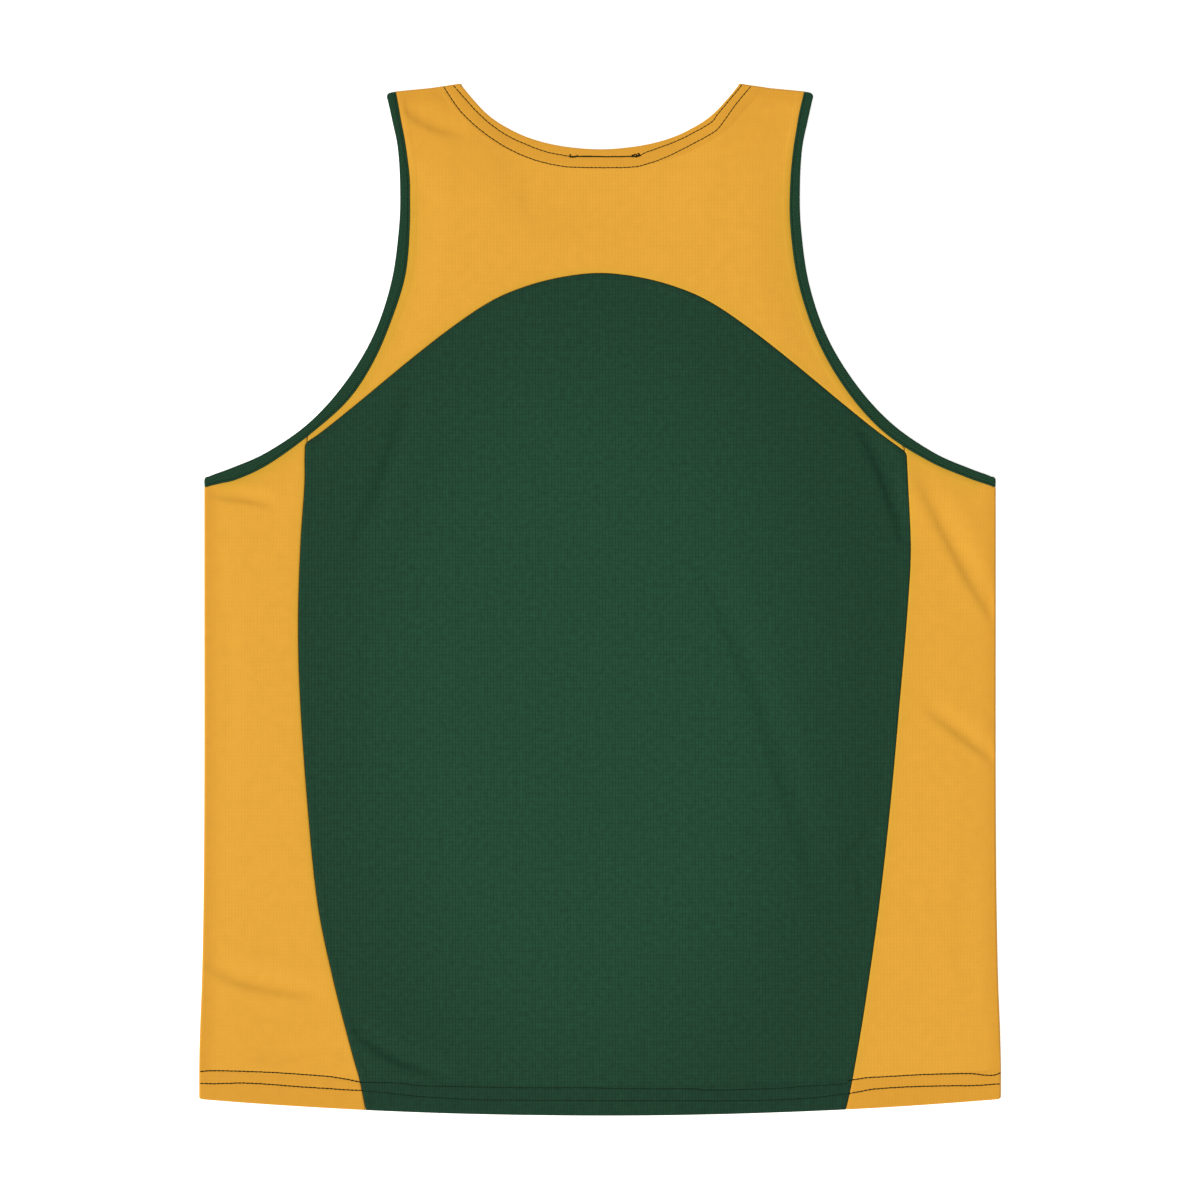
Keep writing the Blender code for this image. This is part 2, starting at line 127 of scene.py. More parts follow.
BACK_NECK = table(
    Row,
    (0, 324.6), (27.4, 326.9), (50.4, 332.6), (69, 341.3), (81.4, 350), (92.2, 361.4), (100.8, 372),
)
FRONT_NECK = table(
    Row,
    (0, 247), (30, 250), (55, 260.5), (73, 279), (84, 303), (91, 330), (97, 354), (100.8, 372),
)
SHOULDER = table(Row, (100.8, 372), (122.4, 368.8), (154, 364.9))
ARMHOLE = table(
    Row,
    (154, 364.9), (149.6, 345), (145.6, 325), (144, 298), (144.8, 268), (150.4, 228.5),
    (163.4, 190), (184.3, 155.5), (210, 127.2), (240, 106.4), (265.7, 95), (285.1, 88.2),
)
SIDE = table(
    Row,
    (285.1, 88.2), (285.1, 0), (285.1, -130), (285.6, -210), (286.7, -270), (288.2, -310),
    (288.8, -335), (HEM_HALF, HEM_LOW + HEM_RISE),
)
ARCH = table(
    Row,
    (0, 235.2), (26, 232.6), (52, 226.1), (76.7, 215.8), (103.3, 198.5), (136.8, 172.6),
    (178.6, 138.2), (200.2, 121),
)
LEFT_SEAM = table(
    Row,
    (210.8, 113.8), (212.1, 111.2), (212.4, 107.5), (212.5, 100), (212.6, 82), (215.6, 36),
    (217.1, -18), (215.6, -72), (210.6, -144), (203.4, -216), (192.6, -270), (178.9, -324),
    (172.8, -346), (168.6, -367.2),
)
RIGHT_SEAM = table(
    Row,
    (219.2, 107.2), (220.6, 104.8), (220.9, 101), (221.2, 94), (221.7, 82), (223.6, 36), (221, -10),
    (215.7, -72), (209.2, -144), (201.3, -216), (191.2, -288), (182.2, -342), (177, -366.8),
)

SEAMS = {-1: LEFT_SEAM, 1: RIGHT_SEAM}
SEAM_TOPS = {-1: 210.6, 1: 219.0}  # how far out the seams' short tops meet the bindings

# The bindings were run on by eye. All are as wide at both ends, where back and front are one strip
LEFT_WIDTHS = table(
    Width,
    (0, 7), (36, 5.8), (64, 7), (84, 7.1), (128, 8.8), (168, 7.8), (220, 9.5), (262, 6.8),
    (316, 9.1), (332, 7.8), (344, 6.8),
)
RIGHT_WIDTHS = table(
    Width,
    (0, 7), (18, 7.1), (38, 6.2), (70, 7.1), (106, 7.6), (165, 7.2), (213, 8), (255, 8.4), (298, 7),
    (344, 6.8),
)
FRONT_WIDTHS = table(Width, (0, 7), (170, 7.4), (344, 6.8))
BACK_WIDTHS = {-1: LEFT_WIDTHS, 1: RIGHT_WIDTHS}

# The two rows of stitching round the back neck, which the sewer ran in by eye
NECK_INNER_ROW = table(
    Spot,
    (-105.6, 370.4), (-98.7, 362.6), (-88.6, 351.4), (-77.7, 341.7), (-65.7, 333.8), (-52.1, 327.6),
    (-38.9, 322.8), (-24.5, 319.9), (-17.2, 319.3), (5.3, 319.2), (26.5, 319.7), (33.6, 322.4),
    (53.7, 329.8), (66.7, 336.1), (80, 343.7), (84.6, 349.5), (98, 365.7), (102.2, 370.9),
)
NECK_OUTER_ROW = table(
    Spot,
    (-112.5, 369.4), (-108.6, 363.3), (-100.4, 351.8), (-88.4, 340.2), (-75.1, 330.4),
    (-62.5, 323.2), (-48, 317.2), (-33.1, 313.4), (-18, 311.6), (20.2, 311.5), (35.2, 314.3),
    (49.5, 319.7), (63.4, 326.6), (77.4, 334), (84.1, 338.4), (89.2, 344.6), (97.7, 356.6),
    (108.6, 369.8),
)
# A short heavier row over the inner one at the middle, and the knots at its two ends
BAR_ROW = table(Spot, (-21.6, 319.3), (-10, 319.5), (6, 319.2), (23, 319.4))
BAR_KNOTS = (
    table(Spot, (-21.4, 321), (-21.2, 319), (-17, 319.3), (-16.4, 320.4)),
    table(Spot, (23.6, 318.8), (25, 320.8), (27.6, 319.6), (29.6, 320.2)),
    table(Spot, (22.8, 320.4), (26.2, 319), (28.4, 320.9), (27, 321.4)),
)

# The hem's two rows: the distance from the middle line, and the height above the hem's edge
HEM_UPPER_LEFT = table(
    Spot,
    (-288, 20), (-280, 21.2), (-269, 22), (-257, 22.6), (-234, 23.3), (-211, 23.2), (-194, 22.8),
    (-182.5, 21.6), (-171, 19.8),
)
HEM_LOWER_LEFT = table(
    Spot,
    (-288, 11.5), (-280, 11.9), (-269, 13), (-257, 14.2), (-240, 14.6), (-217, 14.3), (-194, 14.2),
    (-182.5, 14), (-171, 14.2),
)
HEM_UPPER_MIDDLE = table(
    Spot,
    (-171, 19.9), (-154, 20.6), (-141, 20.4), (-128, 19.4), (-102, 19.6), (-63, 19.7), (-11, 20.2),
    (8, 19.8), (41, 19.3), (67, 18.9), (80, 17.6), (131, 17.5), (144, 18.2), (178, 18.7),
)
HEM_LOWER_MIDDLE = table(
    Spot,
    (-171, 13.8), (-154, 13.3), (-128, 11.5), (-89, 10.6), (-50, 10.9), (2, 11), (54, 10.6),
    (80, 9.9), (118, 9.3), (144, 9.4), (157, 10), (178, 11.4),
)
HEM_UPPER_RIGHT = table(
    Spot,
    (178, 20.8), (186, 21.6), (192, 22.2), (209, 22.2), (232, 22), (255, 21), (267, 20.2),
    (278, 18.2), (284.4, 17.8), (288.4, 19.3),
)
HEM_LOWER_RIGHT = table(
    Spot,
    (178, 11.3), (186, 12.4), (198, 13.8), (221, 13.9), (238, 13.3), (255, 12.4), (270, 11.4),
    (288, 11.2),
)
HEM_ROWS = {
    -1: (HEM_UPPER_LEFT, HEM_LOWER_LEFT),
    0: (HEM_UPPER_MIDDLE, HEM_LOWER_MIDDLE),
    1: (HEM_UPPER_RIGHT, HEM_LOWER_RIGHT),
}

# The part's large creases, here deeper and wider, so that they show in soft light
BACK_CREASES = table(
    Crease,
    ((64, 35), (115, -80), (159, -233), 1.2, 13),
    ((-136, 158), (-155, 98), (-184, 27), 1.9, 11),
    ((183, 130), (204, 84), (218, 36), 2.3, 9),
    ((228, 90), (258, 28), (294, -30), 1.8, 9),
    ((230, -76), (261, -99), (292, -123), 1.5, 8),
    ((-282, 74), (-258, 72), (-234, 67), 1.6, 6.5),
    ((-285, -263), (-250, -278), (-198, -285), 1.95, 9),
    ((-246, -336), (-218, -329), (-190, -321), 1.1, 9),
    ((-180, -305), (-152, -329), (-110, -344), 2.2, 8.5),
    ((-144, 357), (-123, 341), (-96, 335), 1.8, 8.5),
    ((92, 330), (114, 341), (137, 353), 1, 8),
)
# Slighter ones that only the looks have
BACK_SOFT_CREASES = table(
    Crease,
    ((198, -162), (185, -175), (170, -187), 1.7, 7),
    ((183, -184), (186, -204), (189, -226), 0.5, 7),
    ((-62, 301), (-54, 284), (-47, 266), 0.2, 7),
    ((-176, 12), (-170, -60), (-180, -130), 0.4, 14),
    ((196, 8), (186, -60), (190, -140), 0.3, 13),
    ((-120, -196), (-60, -214), (10, -206), 0.25, 16),
    ((-96, 150), (-60, 120), (-30, 66), 0.25, 15),
    ((-274, 10), (-268, -60), (-272, -130), 0.3, 8),
    ((262, -180), (256, -236), (262, -290), 0.3, 10),
)
# The front rests on its outside, so it only lifts: troughs seen from below
FRONT_CREASES = table(
    Crease,
    ((-58, 40), (-96, -70), (-150, -206), -0.8, 13),
    ((120, 120), (138, 40), (128, -40), -0.6, 12),
    ((-30, 196), (8, 182), (48, 190), -0.5, 12),
    ((60, -180), (104, -214), (150, -262), -0.6, 12),
    ((-190, 20), (-180, -46), (-192, -110), -0.5, 11),
    ((-120, -250), (-70, -270), (-10, -268), -0.4, 14),
    ((196, -40), (204, -96), (190, -150), -0.5, 10),
)


# Finishes


# Numbers of the mix node's sockets for colours, whose names are not unique
MIX_A, MIX_B, MIXED = 6, 7, 2


def linear(hex_colour: str) -> tuple[float, float, float, float]:
    """Turn an sRGB colour into the linear one that a shader takes.

    Args:
        hex_colour: Six hex digits after a hash sign.

    Returns:
        Red, green, blue and an alpha of one.
    """
    codes = [int(hex_colour[i : i + 2], 16) / 255 for i in (1, 3, 5)]
    red, green, blue = (c / 12.92 if c <= 0.04045 else ((c + 0.055) / 1.055) ** 2.4 for c in codes)
    return red, green, blue, 1.0


def add_node(
    tree: bpy.types.NodeTree, kind: str, settings: dict[str | int, object]
) -> bpy.types.Node:
    """Add one node to a material, or find the shader that it has from the start.

    Args:
        tree: The material's node tree.
        kind: Blender's name for the node's type, or the shader's own name.
        settings: Values of the node's own options, and of its sockets by name or number. A value
            that is another node's output is linked.

    Returns:
        The node.
    """
    node = tree.nodes.get(kind) or tree.nodes.new(kind)
    for name, value in settings.items():
        if isinstance(value, bpy.types.NodeSocket):
            tree.links.new(value, node.inputs[name])
        elif isinstance(name, str) and hasattr(node, name):
            setattr(node, name, value)
        else:
            node.inputs[name].default_value = value
    return node


class Finish:
    """What all finishes share: each is built as one material for all the pieces that have it."""

    name: str

    def material(self) -> bpy.types.Material:
        """Find the finish's material, or build it.

        Returns:
            The material.
        """
        material = bpy.data.materials.get(self.name)
        if not material:
            material = bpy.data.materials.new(self.name)
            material.use_nodes = True
            add_node(material.node_tree, "Principled BSDF", self.shader(material.node_tree))
        return material


@dataclass(frozen=True)
class KnitFinish(Finish):
    """Polyester sports knit, weft knitted from fine textured yarn and piece dyed.

    It reads as fine columns of loops, matt, with a faint soft sheen where it turns away. The
    real columns are 1.1 mm apart and the rows 1.3 mm. Both are drawn about twice as coarse,
    so that they show as a pattern in the render and not as a shimmer. Over the middle of the
    back a painted sheen makes the colour paler, and towards the back's edges painted shade
    makes it darker, standing in for light that falls off there.
    """

    # Painted sheen: where the middle of the back is painted paler, and how far out it fades to painted
    # shade
    PAINTED_SHEEN_SCALE: ClassVar[tuple[float, float, float]] = (1 / 215, 1 / 330, 0.0)
    PAINTED_SHEEN_SHIFT: ClassVar[tuple[float, float, float]] = (0.07, 0.24, 0.0)

    name: str
    slot: str
    cloth: str
    shade: str
    doubled_and_fold_shade: str
    backed_and_seam_shade: str
    wale_pitch: float = 2.3
    course_pitch: float = 2.7
    loop_height: float = 0.16
    bump: float = 0.55
    roughness: float = 0.82
    sheen: float = 0.12
    mottle: float = 0.03
    mottle_scale: float = 0.12  # per millimetre
    # how strongly the painted sheen pales the middle of the back and the painted shade darkens its
    # edges
    painted_sheen: float = 0.0

    def shader(self, tree: bpy.types.NodeTree) -> dict[str, object]:
        """Lay out the knit's nodes, and list what the shader's sockets take.

        Args:
            tree: The material's node tree.

        Returns:
            A value or a node's output for each socket.
        """
        cloth = add_node(tree, "ShaderNodeAttribute", {"attribute_name": "cloth_mm"})
        place = cloth.outputs["Vector"]
        loops = self.loops(tree, place)
        relief = {"Strength": self.bump, "Distance": self.loop_height * MM, "Height": loops}
        return {
            "Base Color": self.colour(tree, place, loops),
            "Normal": add_node(tree, "ShaderNodeBump", relief).outputs["Normal"],
            "Roughness": self.roughness,
            "IOR": 1.5,
            "Specular IOR Level": 0.18,
            "Sheen Weight": self.sheen,
            "Sheen Roughness": 0.45,
        }

    def loops(
        self, tree: bpy.types.NodeTree, place: bpy.types.NodeSocket
    ) -> bpy.types.NodeSocket:
        """Draw the knit's loops: columns, each crossed by slanting halves of loops.

        Args:
            tree: The material's node tree.
            place: The point's place on the flat cloth, in millimetres.

        Returns:
            The loops' height, from 0 in the valleys to 1.
        """
        wander = add_node(tree, "ShaderNodeTexNoise", {"Scale": 0.11, "Detail": 1.0, "Vector": place})
        split = add_node(tree, "ShaderNodeSeparateXYZ", {"Vector": place}).outputs
        values = {"wander": wander.outputs["Fac"], "x": split["X"], "y": split["Y"]}
        for name, operation, *terms in (
            ("shifted", "MULTIPLY_ADD", "wander", 0.7, "x"),
            ("column", "DIVIDE", "shifted", self.wale_pitch),
            ("half_turn", "MULTIPLY", "column", np.pi),
            ("wave", "SINE", "half_turn"),
            ("ridge", "ABSOLUTE", "wave"),
            ("round_ridge", "POWER", "ridge", 0.45),
            ("slant", "PINGPONG", "column", 0.5),
            ("row", "DIVIDE", "y", self.course_pitch),
            ("beat", "ADD", "row", "slant"),
            ("turn", "MULTIPLY", "beat", 2 * np.pi),
            ("swing", "SINE", "turn"),
            ("course", "MULTIPLY_ADD", "swing", 0.2, 0.8),
            ("height", "MULTIPLY", "round_ridge", "course"),
        ):
            sockets = {i: values.get(term, term) for i, term in enumerate(terms)}
            node = add_node(tree, "ShaderNodeMath", {"operation": operation, **sockets})
            values[name] = node.outputs["Value"]
        return values["height"]

    def colour(
        self,
        tree: bpy.types.NodeTree,
        place: bpy.types.NodeSocket,
        loops: bpy.types.NodeSocket,
    ) -> bpy.types.NodeSocket:
        """Colour the loops, their valleys, the cloth where something lies under it, and the painted
        shade by folds, seams and bindings.

        Args:
            tree: The material's node tree.
            place: The point's place on the flat cloth, and as the third value what lies under it,
                together with the painted shade by folds and edges.
            loops: The loops' height.

        Returns:
            The cloth's colour.
        """
        under = add_node(tree, "ShaderNodeSeparateXYZ", {"Vector": place}).outputs["Z"]
        turned = {"operation": "MULTIPLY", 0: under, 1: -1.0}
        less = add_node(tree, "ShaderNodeMath", turned).outputs["Value"]
        colour = linear(self.cloth)
        # The doubled colour, which is also painted shade by folds; then the edge colour, partly
        # painted shade; then the valleys
        for share, own, other in (
            (under, MIX_A, self.doubled_and_fold_shade),
            (less, MIX_A, self.backed_and_seam_shade),
            (loops, MIX_B, self.shade),
        ):
            colours = {own: colour, MIX_A + MIX_B - own: linear(other)}
            mix = add_node(tree, "ShaderNodeMix", {"data_type": "RGBA", 0: share, **colours})
            colour = mix.outputs[MIXED]
        noise = {"Scale": self.mottle_scale, "Detail": 5.0, "Roughness": 0.65, "Vector": place}
        clouds = add_node(tree, "ShaderNodeTexNoise", noise).outputs["Fac"]
        low, high = 1 - self.mottle, 1 + self.mottle
        cloudy = {"From Min": 0.3, "From Max": 0.7, "To Min": low, "To Max": high, "Value": clouds}
        spread = add_node(tree, "ShaderNodeMapRange", cloudy).outputs["Result"]
        # Painted sheen and shade: paler round the middle of the back, darker towards its edges
        about = {"operation": "MULTIPLY_ADD", 0: place, 1: self.PAINTED_SHEEN_SCALE, 2: self.PAINTED_SHEEN_SHIFT}
        shrunk = add_node(tree, "ShaderNodeVectorMath", about).outputs["Vector"]
        away = add_node(tree, "ShaderNodeVectorMath", {"operation": "LENGTH", 0: shrunk})
        fall = {"interpolation_type": "SMOOTHSTEP", "From Min": 0.45, "From Max": 1.05}
        fall |= {"To Min": 1 + self.painted_sheen, "To Max": 1 - self.painted_sheen}
        fall["Value"] = away.outputs["Value"]
        pale = add_node(tree, "ShaderNodeMapRange", fall).outputs["Result"]
        strength = add_node(tree, "ShaderNodeMath", {"operation": "MULTIPLY", 0: spread, 1: pale})
        dye = {"Color": colour, "Value": strength.outputs["Value"]}
        return add_node(tree, "ShaderNodeHueSaturation", dye).outputs["Color"]


@dataclass(frozen=True)
class ThreadFinish(Finish):
    """Spun polyester sewing thread, two-ply twisted, dull and a little hairy."""

    name: str = "twisted_polyester_sewing_thread"
    ply: str = "#10230C"
    # painted shade in the grooves between the thread's plies
    groove: str = "#050B04"
    twist_pitch: float = 0.55  # real twist, 18 turns a centimetre
    band_share: float = 0.31  # of a wave texture's scale, for bands a unit apart
    bump_height: float = 0.06
    roughness: float = 0.75

    def shader(self, tree: bpy.types.NodeTree) -> dict[str, object]:
        """Lay out the thread's nodes, and list what the shader's sockets take.

        Args:
            tree: The material's node tree.

        Returns:
            A value or a node's output for each socket.
        """
        cloth = add_node(tree, "ShaderNodeAttribute", {"attribute_name": "cloth_mm"})
        bands = {"bands_direction": "DIAGONAL", "Scale": self.band_share / self.twist_pitch}
        bands |= {"Distortion": 0.6, "Vector": cloth.outputs["Vector"]}
        twist = add_node(tree, "ShaderNodeTexWave", bands).outputs["Fac"]
        colours = {MIX_A: linear(self.groove), MIX_B: linear(self.ply)}
        mix = add_node(tree, "ShaderNodeMix", {"data_type": "RGBA", 0: twist, **colours})
        relief = {"Strength": 0.6, "Distance": self.bump_height * MM, "Height": twist}
        return {
            "Base Color": mix.outputs[MIXED],
            "Normal": add_node(tree, "ShaderNodeBump", relief).outputs["Normal"],
            "Roughness": self.roughness,
            "Specular IOR Level": 0.08,
        }


@dataclass(frozen=True)
class FloorFinish(Finish):
    """Opal acrylic of a light table, matt and lit from below, which leaves hardly any shadow."""

    name: str = "opal_acrylic_light_table"
    face: str = "#F7F7F6"
    grain: str = "#F4F4F3"
    roughness: float = 0.95
    glow: float = 0.6

    def shader(self, tree: bpy.types.NodeTree) -> dict[str, object]:
        """Lay out the floor's nodes, and list what the shader's sockets take.

        Args:
            tree: The material's node tree.

        Returns:
            A value or a node's output for each socket.
        """
        place = add_node(tree, "ShaderNodeTexCoord", {}).outputs["Object"]
        noise = {"Scale": 40.0, "Detail": 4.0, "Vector": place}
        grain = add_node(tree, "ShaderNodeTexNoise", noise).outputs["Fac"]
        colours = {MIX_A: linear(self.grain), MIX_B: linear(self.face)}
        mix = add_node(tree, "ShaderNodeMix", {"data_type": "RGBA", 0: grain, **colours})
        return {
            "Base Color": mix.outputs[MIXED],
            "Roughness": self.roughness,
            "Specular IOR Level": 0.0,
            "Emission Color": linear(self.face),
            "Emission Strength": self.glow,
        }


GOLD_KNIT = KnitFinish(
    name="gold_polyester_sports_knit",
    slot="gold_knit",
    cloth="#D79C32",
    shade="#D0942F",
    doubled_and_fold_shade="#CB8F29",
    backed_and_seam_shade="#BA9420",
    bump=0.22,
)
GREEN_KNIT = KnitFinish(
    name="green_polyester_sports_knit",
    slot="green_knit",
    cloth="#18412B",
    shade="#0D2E1D",
    doubled_and_fold_shade="#163C28",
    backed_and_seam_shade="#18412B",
    sheen=0.05,
    mottle=0.2,
    mottle_scale=0.24,
    painted_sheen=0.12,
)
GREEN_RIB = KnitFinish(
    name="green_polyester_rib_binding",
    slot="green_binding",
    cloth="#184028",
    shade="#071E10",
    doubled_and_fold_shade="#184028",
    backed_and_seam_shade="#184028",
    wale_pitch=2.0,
    course_pitch=2.4,
    loop_height=0.2,
    sheen=0.05,
    mottle=0.3,
    mottle_scale=0.6,
)
THREAD = ThreadFinish()


# Curves


def smooth_curve(rows: tuple | list, step: float) -> np.ndarray:
    """Run a Catmull-Rom curve through points.

    Args:
        rows: The points, in order.
        step: About how far apart the curve's points are.

    Returns:
        The curve's points.
    """
    knots = np.array(rows, dtype=float)
    padded = np.vstack((2 * knots[0] - knots[1], knots, 2 * knots[-1] - knots[-2]))
    points = []
    for a, b, c, d in zip(padded, padded[1:], padded[2:], padded[3:]):
        count = max(1, round(np.linalg.norm(c - b) / step))
        for t in np.arange(count) / count:
            cubic = (3 * b - a - 3 * c + d) * t**3
            square = (2 * a - 5 * b + 4 * c - d) * t**2
            points.append((2 * b + (c - a) * t + square + cubic) / 2)
    points.append(knots[-1])
    return np.array(points)


def across_middle(rows: tuple, step: float, left_end: tuple = (), right_end: tuple = ()) -> np.ndarray:
    """Run a curve from left to right through rows that both halves share.

    Args:
        rows: The rows from the middle outward.
        step: About how far apart the curve's points are.
        left_end: Rows that only the left half has, after the shared ones.
        right_end: Rows that only the right half has.

    Returns:
        The curve's points.
    """
    left = [Row(-row.out, row.up) for row in reversed(rows[1:] + left_end)]
    return smooth_curve(left + list(rows + right_end), step)


def mirrored(points: np.ndarray) -> np.ndarray:
    """Give the points on the other side of the middle line."""
    return np.array(points) * (-1, 1)


def unit(vectors: np.ndarray) -> np.ndarray:
    """Scale vectors to a length of one."""
    return vectors / np.linalg.norm(vectors, axis=-1, keepdims=True)


def left_normals(path: np.ndarray) -> np.ndarray:
    """Give the unit vector to the left of a path's direction, at each of its points."""
    along = unit(np.gradient(path, axis=0))
    return np.stack((-along[:, 1], along[:, 0]), axis=1)


def reached(path: np.ndarray) -> np.ndarray:
    """Give the length of a path up to each of its points."""
    return np.concatenate(([0.0], np.cumsum(np.linalg.norm(np.diff(path, axis=0), axis=1))))


def carried(path: np.ndarray, values: np.ndarray, lengths: np.ndarray) -> np.ndarray:
    """Give what values at a path's points come to at given lengths along it."""
    before = reached(path)
    return np.stack([np.interp(lengths, before, value) for value in values.T], axis=-1)


def at_lengths(path: np.ndarray, lengths: np.ndarray) -> np.ndarray:
    """Give the points that lie at given lengths along a path."""
    return carried(path, path, lengths)


def straight_lines(rows: list) -> np.ndarray:
    """Give points along straight lines between rows, as close as an outline's.

    Args:
        rows: The lines' corners.

    Returns:
        The points.
    """
    line = np.array(rows, dtype=float)
    whole = reached(line)[-1]
    return at_lengths(line, np.linspace(0, whole, round(whole / CLOTH_STEP)))


def smoothstep(value: np.ndarray) -> np.ndarray:
    """Ease from 0 to 1 as the value does."""
    share = np.clip(value, 0, 1)
    return share * share * (3 - 2 * share)


NEAR_BATCH = 4000  # points at a time, to save memory


def near_path(
    points: np.ndarray, path: np.ndarray, reach: float = np.inf
) -> tuple[np.ndarray, np.ndarray]:
    """Find how far points are from a path, on the pieces that meet at its nearest corner.

    Args:
        points: The points.
        path: The path's corners, about as far apart as each other.
        reach: How far from the path the distance matters. Past that it may be infinite.

    Returns:
        Each point's distance, and the length along the path where it is nearest.
    """
    step = np.diff(path, axis=0)
    lengths = np.linalg.norm(step, axis=1)
    before = reached(path)
    square = (path**2).sum(axis=1)
    distance = np.full(len(points), np.inf)
    along = np.zeros(len(points))
    low, high = path.min(axis=0) - reach, path.max(axis=0) + reach
    close = np.flatnonzero(((points >= low) & (points <= high)).all(axis=1))
    for first in range(0, len(close), NEAR_BATCH):
        batch = close[first : first + NEAR_BATCH]
        corner = (square - 2 * points[batch] @ path.T).argmin(axis=1)
        for piece in (np.maximum(corner - 1, 0), np.minimum(corner, len(step) - 1)):
            offset = points[batch] - path[piece]
            share = np.clip((offset * step[piece]).sum(axis=1) / lengths[piece] ** 2, 0, 1)
            gap = np.linalg.norm(offset - share[:, None] * step[piece], axis=1)
            closer = gap < distance[batch]
            distance[batch[closer]] = gap[closer]
            along[batch[closer]] = (before[piece] + share * lengths[piece])[closer]
    return distance, along


def inside(points: np.ndarray, outline: np.ndarray) -> np.ndarray:
    """Tell which points lie inside a closed outline.

    Args:
        points: The points.
        outline: The outline's corners, the last joined to the first.

    Returns:
        True for each point inside.
    """
    start, end = outline, np.roll(outline, -1, axis=0)
    rising = end[:, 1] > start[:, 1]
    run, rise = (end - start).T
    found = np.zeros(len(points), dtype=bool)
    for first in range(0, len(points), NEAR_BATCH):
        x, y = points[first : first + NEAR_BATCH, :1], points[first : first + NEAR_BATCH, 1:]
        spans = (start[:, 1] > y) != (end[:, 1] > y)
        left_of = (x - start[:, 0]) * rise < (y - start[:, 1]) * run
        found[first : first + NEAR_BATCH] = (spans & (left_of == rising)).sum(axis=1) % 2 == 1
    return found


def hem_up(x: np.ndarray) -> np.ndarray:
    """Give the height of the curved hem at distances from the middle line."""
    return HEM_LOW + HEM_RISE * (x / HEM_HALF) ** 2


def hem_curve(left: float, right: float, step: float) -> np.ndarray:
    """Give the hem's edge between two distances from the middle line."""
    x = np.linspace(left, right, max(2, round((right - left) / step)))
    return np.stack((x, hem_up(x)), axis=1)


def hem_row(spots: tuple[Spot, ...]) -> np.ndarray:
    """Turn heights above the hem's edge into a line of stitching."""
    line = smooth_curve(spots, CURVE_STEP)
    return line + np.stack((np.zeros(len(line)), hem_up(line[:, 0])), axis=1)


def armhole_edges(
    deeper: float, widths: tuple[Width, ...], step: float
) -> tuple[np.ndarray, np.ndarray]:
    """Draw an armhole on the right, from the shoulder to the underarm.

    Args:
        deeper: How much further in it is cut at its middle than the back's.
        widths: How wide the binding round it is.
        step: About how far apart the points are.

    Returns:
        The outer edge, and the inner edge of the binding round it.
    """
    outer = smooth_curve(ARMHOLE, step)
    share = np.linspace(0, 1, len(outer))[:, None]
    outer = outer - left_normals(outer) * deeper * np.sin(np.pi * share) ** 2
    along, wide = smooth_curve(widths, step).T
    inner = outer - left_normals(outer) * np.interp(reached(outer), along, wide)[:, None]
    slope = (inner[-1] - inner[-2]) / (inner[-1] - inner[-2])[0]
    inner[-1] += slope * (outer[-1] - inner[-1])[0]
    return outer, inner


def split_at(path: np.ndarray, out: float) -> tuple[np.ndarray, np.ndarray]:
    """Cut an armhole's line at a distance from the middle, near its lower end.

    Args:
        path: The line, from the shoulder to the underarm.
        out: The distance.

    Returns:
        The two parts.
    """
    before = reached(path)
    low = path[:, 1] < path[0, 1] / 2
    cut_at = np.interp(out, path[low, 0], before[low])
    cut = at_lengths(path, np.array([cut_at]))
    clear = CLOTH_STEP / 4
    return (
        np.vstack((path[before < cut_at - clear], cut)),
        np.vstack((cut, path[before > cut_at + clear])),
    )


# How each layer lies


@dataclass(frozen=True)
class Swell:
    """A long shallow wave in the cloth."""

    across: float
    heading: float
    phase: float
    height: float

    def rise(self, points: np.ndarray) -> np.ndarray:
        """Give the wave's height at points.

        Args:
            points: Where on the cloth.

        Returns:
            The height, in millimetres.
        """
        heading = np.radians(self.heading)
        along = points @ np.array((np.cos(heading), np.sin(heading)))
        return self.height * np.sin(2 * np.pi * along / self.across + self.phase)


CREASE_LINE_POINTS = 24
CREASE_REACH = 3.2  # widths past which a crease no longer shows
CREASE_END_POWER = 0.7  # a smaller one makes its ends blunter
CREASE_MESH_STEP = 3.0
CREASE_MESH_REACH = 2  # widths each side within which it has rows of its own and no lattice
CREASE_MESH_ROWS = (-1.6, -1.1, -0.7, -0.4, -0.2, 0.0, 0.3, 0.7, 1.1, 1.5, 2.0)
# Cloth that is pushed over has one steep flank, which is on the right of the crease's direction.
# It lies on the crease's line, and the trough's bottom is beside it.
STEEP_FLANK = 0.7
GENTLE_FLANK = 1.3
BOTTOM_ASIDE = 0.3


def crease_path(crease: Crease, count: int) -> np.ndarray:
    """Give points on the parabola through a crease's three points.

    Args:
        crease: The crease.
        count: How many points.

    Returns:
        The points.
    """
    t = np.linspace(0, 1, count)[:, None]
    start, by, end = np.array(crease[:3])
    return start * (1 - t) * (1 - 2 * t) + by * 4 * t * (1 - t) + end * t * (2 * t - 1)


def crease_height(points: np.ndarray, crease: Crease) -> np.ndarray:
    """Shape one crease: a soft trough with a low ridge each side, which runs out at its ends.

    Args:
        points: Where on the cloth.
        crease: The crease.

    Returns:
        How much the cloth rises there.
    """
    path = crease_path(crease, CREASE_LINE_POINTS)
    reach = crease.width * CREASE_REACH
    distance, along = near_path(points, path, reach)
    close = distance < reach
    distance, along = distance[close], along[close]
    heading = carried(path, np.gradient(path, axis=0), along)
    offset = points[close] - at_lengths(path, along)
    on_left = heading[:, 0] * offset[:, 1] > heading[:, 1] * offset[:, 0]
    aside = distance * np.where(on_left, 1, -1) / crease.width - BOTTOM_ASIDE
    share = (aside / np.where(aside > 0, GENTLE_FLANK, STEEP_FLANK)) ** 2
    ends = np.sin(np.pi * np.clip(along / reached(path)[-1], 0, 1)) ** CREASE_END_POWER
    rise = np.zeros(len(points))
    rise[close] = -crease.depth * (1 - share) * np.exp(-share) * ends
    return rise


LAYERS_TOUCH = 0.05  # between the walls where a crease comes down on the front
TOUCH_SOFTNESS = 0.1  # over which it comes to rest there


